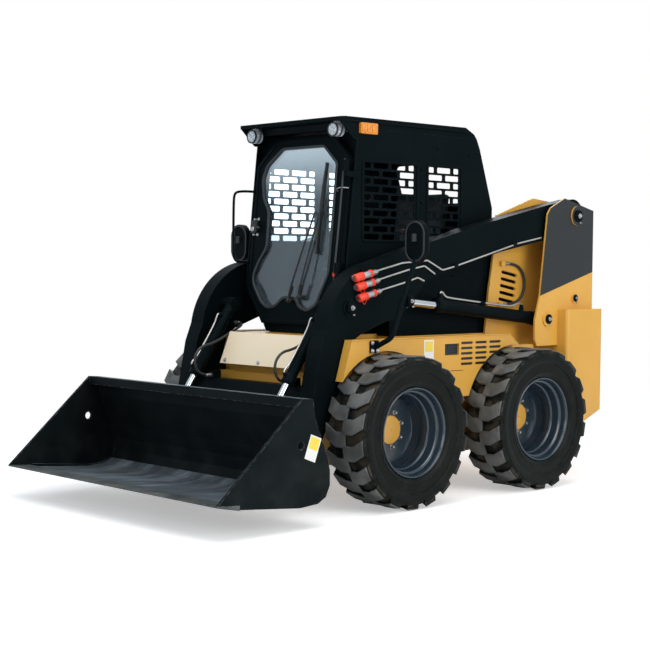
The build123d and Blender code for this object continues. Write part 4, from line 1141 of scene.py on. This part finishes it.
def makeLamps():
    centre = at(lamp["x"], lamp["y"], lamp["z"])
    ahead = Vector((0.0, -1.0, 0.0))
    bezel = turned(lamp["bezel"], centre, ahead, 40)
    yoke = pipe([centre + Vector(bend) for bend in lamp["yoke"]], 0.004)
    settleSides([bezel, yoke], "lampBezels", "sealRubber", "frame")
    lens = turned(lamp["lens"], centre, ahead, 40)
    cells = ring(turned(lamp["cell"], centre + Vector((0.0, 0.0, 0.02)), ahead, 16), centre, 6, (0.0, 1.0, 0.0))
    core = turned(lamp["cell"], centre, ahead, 16)
    settleSides([lens, cells, core], "lampLenses", "lampClear", "frame")

    step = marker["length"] / marker["segments"]
    cells = [block((0.007, step * 0.86, marker["height"] * 0.84),
                   at(marker["face"] + 0.001, marker["y"] + (count - 1) * step, marker["z"]), 0.0025, 3)
             for count in range(marker["segments"])]
    settleSides(cells, "markerLenses", "lampAmber", "frame")


cab = {
    "rail": ((-0.414, -0.045, 1.736), (-0.43, -0.075, 1.738), (-0.432, -0.15, 1.735), (-0.432, -0.186, 1.722),
             (-0.432, -0.192, 1.66), (-0.432, -0.192, 1.4), (-0.432, -0.186, 1.33), (-0.43, -0.14, 1.322),
             (-0.414, -0.085, 1.32)),
    "windows": ((0.02, 0.474), (0.545, 0.857)), "windowHeights": (1.436, 1.892),
    "bolts": ((0.505, 1.47), (0.505, 1.67), (0.505, 1.86), (0.06, 1.25), (0.42, 1.25), (0.78, 1.25),
              (1.08, 1.25), (1.08, 1.56), (0.92, 1.96), (0.3, 1.99), (0.64, 1.99)),
    "roofGutters": ((0.42, -0.14, 2.094), (0.424, -0.1, 2.095), (0.424, 0.3, 2.098), (0.424, 0.86, 2.1),
                    (0.42, 0.9, 2.094)),
    "cornerPosts": ((0.416, -0.1, 1.18), (0.418, -0.088, 1.3), (0.418, -0.03, 1.88), (0.416, -0.018, 2.0)),
}


def makeCab():
    rail = pipe(route(*cab["rail"]), 0.0075)
    settle(rail, "sideRail", "blackPaint", "frame")
    low, high = cab["windowHeights"]
    trims = [ringPlate([at(0.4205, y, z) for y, z in ((ahead, low), (aft, low), (aft, high), (ahead, high))],
                       0.014, (0.004, 0.0, 0.0), 0.0015, 0.02) for ahead, aft in cab["windows"]]
    settleSides(trims, "windowTrims", "blackPaint", "frame")
    heads = [bolt(at(0.42, y, z), (1, 0, 0), 0.007, 0.005) for y, z in cab["bolts"]]
    settleSides(heads, "cabBolts", "blackPaint", "frame")
    for name, radius in (("roofGutters", 0.005), ("cornerPosts", 0.0065)):
        line = pipe(route(*cab[name]), radius)
        settleSides([line], name, "blackPaint", "frame")


# mirrors

mirror = {"x": 0.742, "y": 0.11, "z": 1.437, "width": 0.15, "height": 0.23, "thick": 0.03}


def mirrorOutline(inset, y):
    # a round with 24 corners, pulled apart upwards and downwards
    half, tall = mirror["width"] / 2 - inset, mirror["height"] / 2 - inset
    angles = [math.tau * (count + 0.5) / 24 for count in range(24)]
    return [at(mirror["x"] + half * math.cos(angle), y,
               mirror["z"] + half * math.sin(angle) + math.copysign(tall - half, math.sin(angle)))
            for angle in angles]


def makeMirrors():
    x, y, z, back = mirror["x"], mirror["y"], mirror["z"] + 0.02, mirror["y"] + mirror["thick"]
    front = ringPlate(mirrorOutline(0.002, y + 0.001), 0.012, (0.0, -0.007, 0.0), 0.003, 0.004)
    rear = ringPlate(mirrorOutline(0.0015, back - 0.001), 0.01, (0.0, 0.006, 0.0), 0.002, 0.004)
    knuckle = turned([(-0.02, 0.0), (-0.02, 0.017), (0.02, 0.017), (0.022, 0.015), (0.022, 0.0)],
                     at(x, y - 0.004, z), (0, 0, 1), 24)
    pin = turned([(0.0, 0.0), (0.0, 0.009), (0.014, 0.008), (0.016, 0.005), (0.016, 0.0)], at(x, y, z),
                 (0, -1, 0), 20)
    settleSides([front, rear, knuckle], "mirrorRims", "blackPlastic", "frame")
    glass = plate(mirrorOutline(0.011, back), (0.0, 0.0018, 0.0), 0.0)
    settleSides([glass], "mirrorGlasses", "mirrorGlass", "frame")
    feet = [bolt(at(0.654, y, z), (1, 0, 0), 0.0085, 0.006) for y, z in
            ((-0.12, 0.846), (-0.12, 0.89), (-0.08, 0.846))]
    settleSides([pin] + feet, "mirrorBolts", "boltSteel", "frame")


# seat and controls

seat = {"voxel": 0.009, "pressure": 4.0, "frames": 20, "reach": 0.012, "fill": 0.8}


def makePad(name, outline, half):
    # a closed block of foam, blown up a little by the cloth solver, its travel capped
    piece = slab(-half, outline, 2 * half, 0.016, 4)
    change(piece, "REMESH", mode="VOXEL", voxel_size=seat["voxel"])
    pick(piece)
    rest = [corner.co.copy() for corner in piece.data.vertices]
    cloth = piece.modifiers.new("cloth", "CLOTH")
    cloth.settings.use_pressure = True
    cloth.settings.uniform_pressure_force = seat["pressure"]
    cloth.settings.effector_weights.gravity = 0.0
    cloth.point_cache.frame_end = seat["frames"]
    for count in range(1, seat["frames"] + 1):
        bpy.context.scene.frame_set(count)
    bpy.ops.object.modifier_apply(modifier=cloth.name)
    bpy.context.scene.frame_set(1)
    for corner, home in zip(piece.data.vertices, rest):
        travel = corner.co - home
        if travel.length > seat["reach"]:
            corner.co = home + travel.normalized() * seat["reach"]
    change(piece, "SUBSURF", levels=1, render_levels=1)
    settle(piece, name, "seatVinyl", "frame")
    return piece


def makeSeat():
    cushion = makePad("seatCushion", ((0.442, 1.176), (0.892, 1.15), (0.892, 1.222), (0.442, 1.252)), 0.216)
    makePad("seatBack", ((0.872, 1.24), (0.948, 1.246), (1.002, 1.752), (0.944, 1.758)), 0.208)
    stand = slab(-0.18, ((0.5, 0.914), (0.88, 0.914), (0.88, 1.14), (0.5, 1.16)), 0.36, 0.012, 3)
    pan = slab(-0.205, ((0.45, 1.16), (0.885, 1.138), (0.885, 1.152), (0.45, 1.174)), 0.41, 0.006)
    settle(joined([stand, pan]), "seatBase", "blackPaint", "frame")
    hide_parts("seat")


lever = {
    "foot": (0.305, 0.48, 1.288), "buttons": (0.297, 0.312), "buttonTop": 1.514,
    # profiles of (height over the foot, radius)
    "boot": ((-0.005, 0.0), (-0.005, 0.03), (0.01, 0.03), (0.014, 0.024), (0.024, 0.026), (0.028, 0.02),
             (0.038, 0.022), (0.042, 0.016), (0.052, 0.017), (0.056, 0.01), (0.13, 0.009), (0.13, 0.0)),
    "grip": ((0.12, 0.0), (0.12, 0.014), (0.135, 0.018), (0.16, 0.02), (0.19, 0.018), (0.205, 0.021),
             (0.22, 0.0225), (0.226, 0.018), (0.227, 0.0)),
}


def makeControls():
    side = ((0.43, 0.914), (0.76, 0.914), (0.76, 1.325), (0.7, 1.322), (0.43, 1.285))
    parts = [slab(0.272, side, 0.066, 0.012, 3)]
    parts += [turned(lever[part], at(*lever["foot"]), (0, 0, 1), 28) for part in ("boot", "grip")]
    parts.append(block((0.07, 0.2, 0.034), at(0.305, 0.64, 1.338), 0.012, 3))
    consoles = settleSides(parts, "consoles", "controlPlastic", "frame")
    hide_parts("controls")
    buttons = [turned([(0.0, 0.0), (0.0, 0.0055), (0.004, 0.005), (0.005, 0.0)],
                      at(x, lever["foot"][1] - 0.004, lever["buttonTop"]), (0, 0, 1), 12)
               for x in lever["buttons"]]
    settleSides(buttons, "consoleButtons", "capRed", "frame")


makeDoor()
makeLamps()
makeCab()
makeMirrors()
makeSeat()
makeControls()
print("cab done")


# frame, fenders and tail

def tag(centre, width, height, finish, name):
    # a blank plate with rounded corners, on each side of the machine
    half, tall = Vector((0.0, width / 2, 0.0)), Vector((0.0, 0.0, height / 2))
    outline = [centre - half - tall, centre + half - tall, centre + half + tall, centre - half + tall]
    settleSides([plate(outline, (0.0012, 0.0, 0.0), 0.0004, 1, 0.003)], name, finish, "frame")


fender = {"face": 0.64, "tag": (0.342, 0.835), "recess": (0.537, 0.832), "recessFace": 0.6265,
          "vents": (0.791, 0.806), "seam": (0.53, 0.71)}


def makeFenders():
    face = fender["face"]
    y, z = fender["tag"]
    tag(at(face, y, z), 0.08, 0.115, "labelWhite", "fenderTag")
    tag(at(face + 0.001, y, z + 0.02), 0.062, 0.058, "labelYellow", "fenderTagPanel")
    y, z = fender["recess"]
    bars = [block((0.004, 0.108, 0.0055), at(fender["recessFace"] + 0.003, y, z - 0.026 + 0.013 * row), 0.0012)
            for row in range(5)]
    corners = [(y + aft * 0.058, z + up * 0.031) for aft, up in ((-1, -1), (1, -1), (1, 1), (-1, 1))]
    bars.append(slab(fender["recessFace"], corners, 0.002, 0.0004, 1, 0.004))
    settleSides(bars, "fenderGrille", "blackPlastic", "frame")
    lip = pipe(route((0.64, -0.258, 0.906), (0.641, 0.0, 0.9065), (0.641, 1.0, 0.9065), (0.64, 1.046, 0.906)),
               0.0035)
    settleSides([lip], "fenderLips", "amberPaint", "frame")
    # the first block is a dark plate inside the vent slots, painted shade in the slots' depth; the second is the
    # dark seam line between the wheels
    for name, size, out, spot, edge in (("fenderVents", (0.002, 0.37, 0.15), -0.0075, fender["vents"], 0.0004),
                                        ("fenderSeam", (0.002, 0.21, 0.003), 0.0002, fender["seam"], 0.0003)):
        settleSides([block(size, at(face + out, *spot), edge)], name, "blackPlastic", "frame")


def makeFront():
    heads = [bolt(at(x, -0.3665, 0.76), (0, -0.92, 0.38), 0.008, 0.006) for x in (-0.29, 0.0, 0.29)]
    settle(joined(heads), "plateBolts", "boltSteel", "frame")


def makeTail():
    bends = ((1.892, 0.7), (1.899, 0.705), (1.899, 0.74), (1.899, 0.8), (1.899, 0.835), (1.892, 0.84))
    handle = pipe([at(0.36, y, z) for y, z in bends], 0.006)
    settle(handle, "tailHandle", "blackPlastic", "tailgate")
    heads = [bolt(at(x, 1.8955, z), (0, 1, 0), 0.007, 0.005)
             for x in (-0.405, 0.405) for z in (0.51, 0.76, 1.01)]
    settle(joined(heads), "tailBolts", "boltSteel", "tailgate")
    stack = turned([(0.0, 0.0), (0.0, 0.036), (0.006, 0.036), (0.006, 0.028), (0.15, 0.028), (0.156, 0.03),
                    (0.16, 0.028), (0.16, 0.024), (0.11, 0.024), (0.11, 0.0)], at(-0.25, 1.6, 1.3),
                   (0, 0.25, 1), 32)
    settle(stack, "exhaustStack", "engineIron", "frame")
    cap = turned([(0.0, 0.0), (0.0, 0.046), (0.01, 0.048), (0.028, 0.048), (0.034, 0.043), (0.034, 0.0)],
                 at(0.24, 1.54, 1.306), (0, 0.43, 0.9), 12)
    settle(cap, "fillerCap", "blackPlastic", "frame")


# bucket

bucket = {"half": 0.925, "side": 0.016, "weld": (
    (-1.26, 0.172), (-1.0, 0.146), (-0.89, 0.134), (-0.8, 0.137), (-0.735, 0.158), (-0.7, 0.2),
    (-0.7, 0.284), (-0.721, 0.36), (-0.756, 0.436), (-0.798, 0.539), (-0.817, 0.63))}


def makeBucket():
    inner = bucket["half"] - bucket["side"] - 0.001
    bead = pipe([at(inner, y, z) for y, z in bucket["weld"]], 0.0045)
    settleSides([bead], "bucketWelds", "bucketPaint", "bucket_group")


makeFenders()
makeFront()
makeTail()
makeBucket()
print("body done")
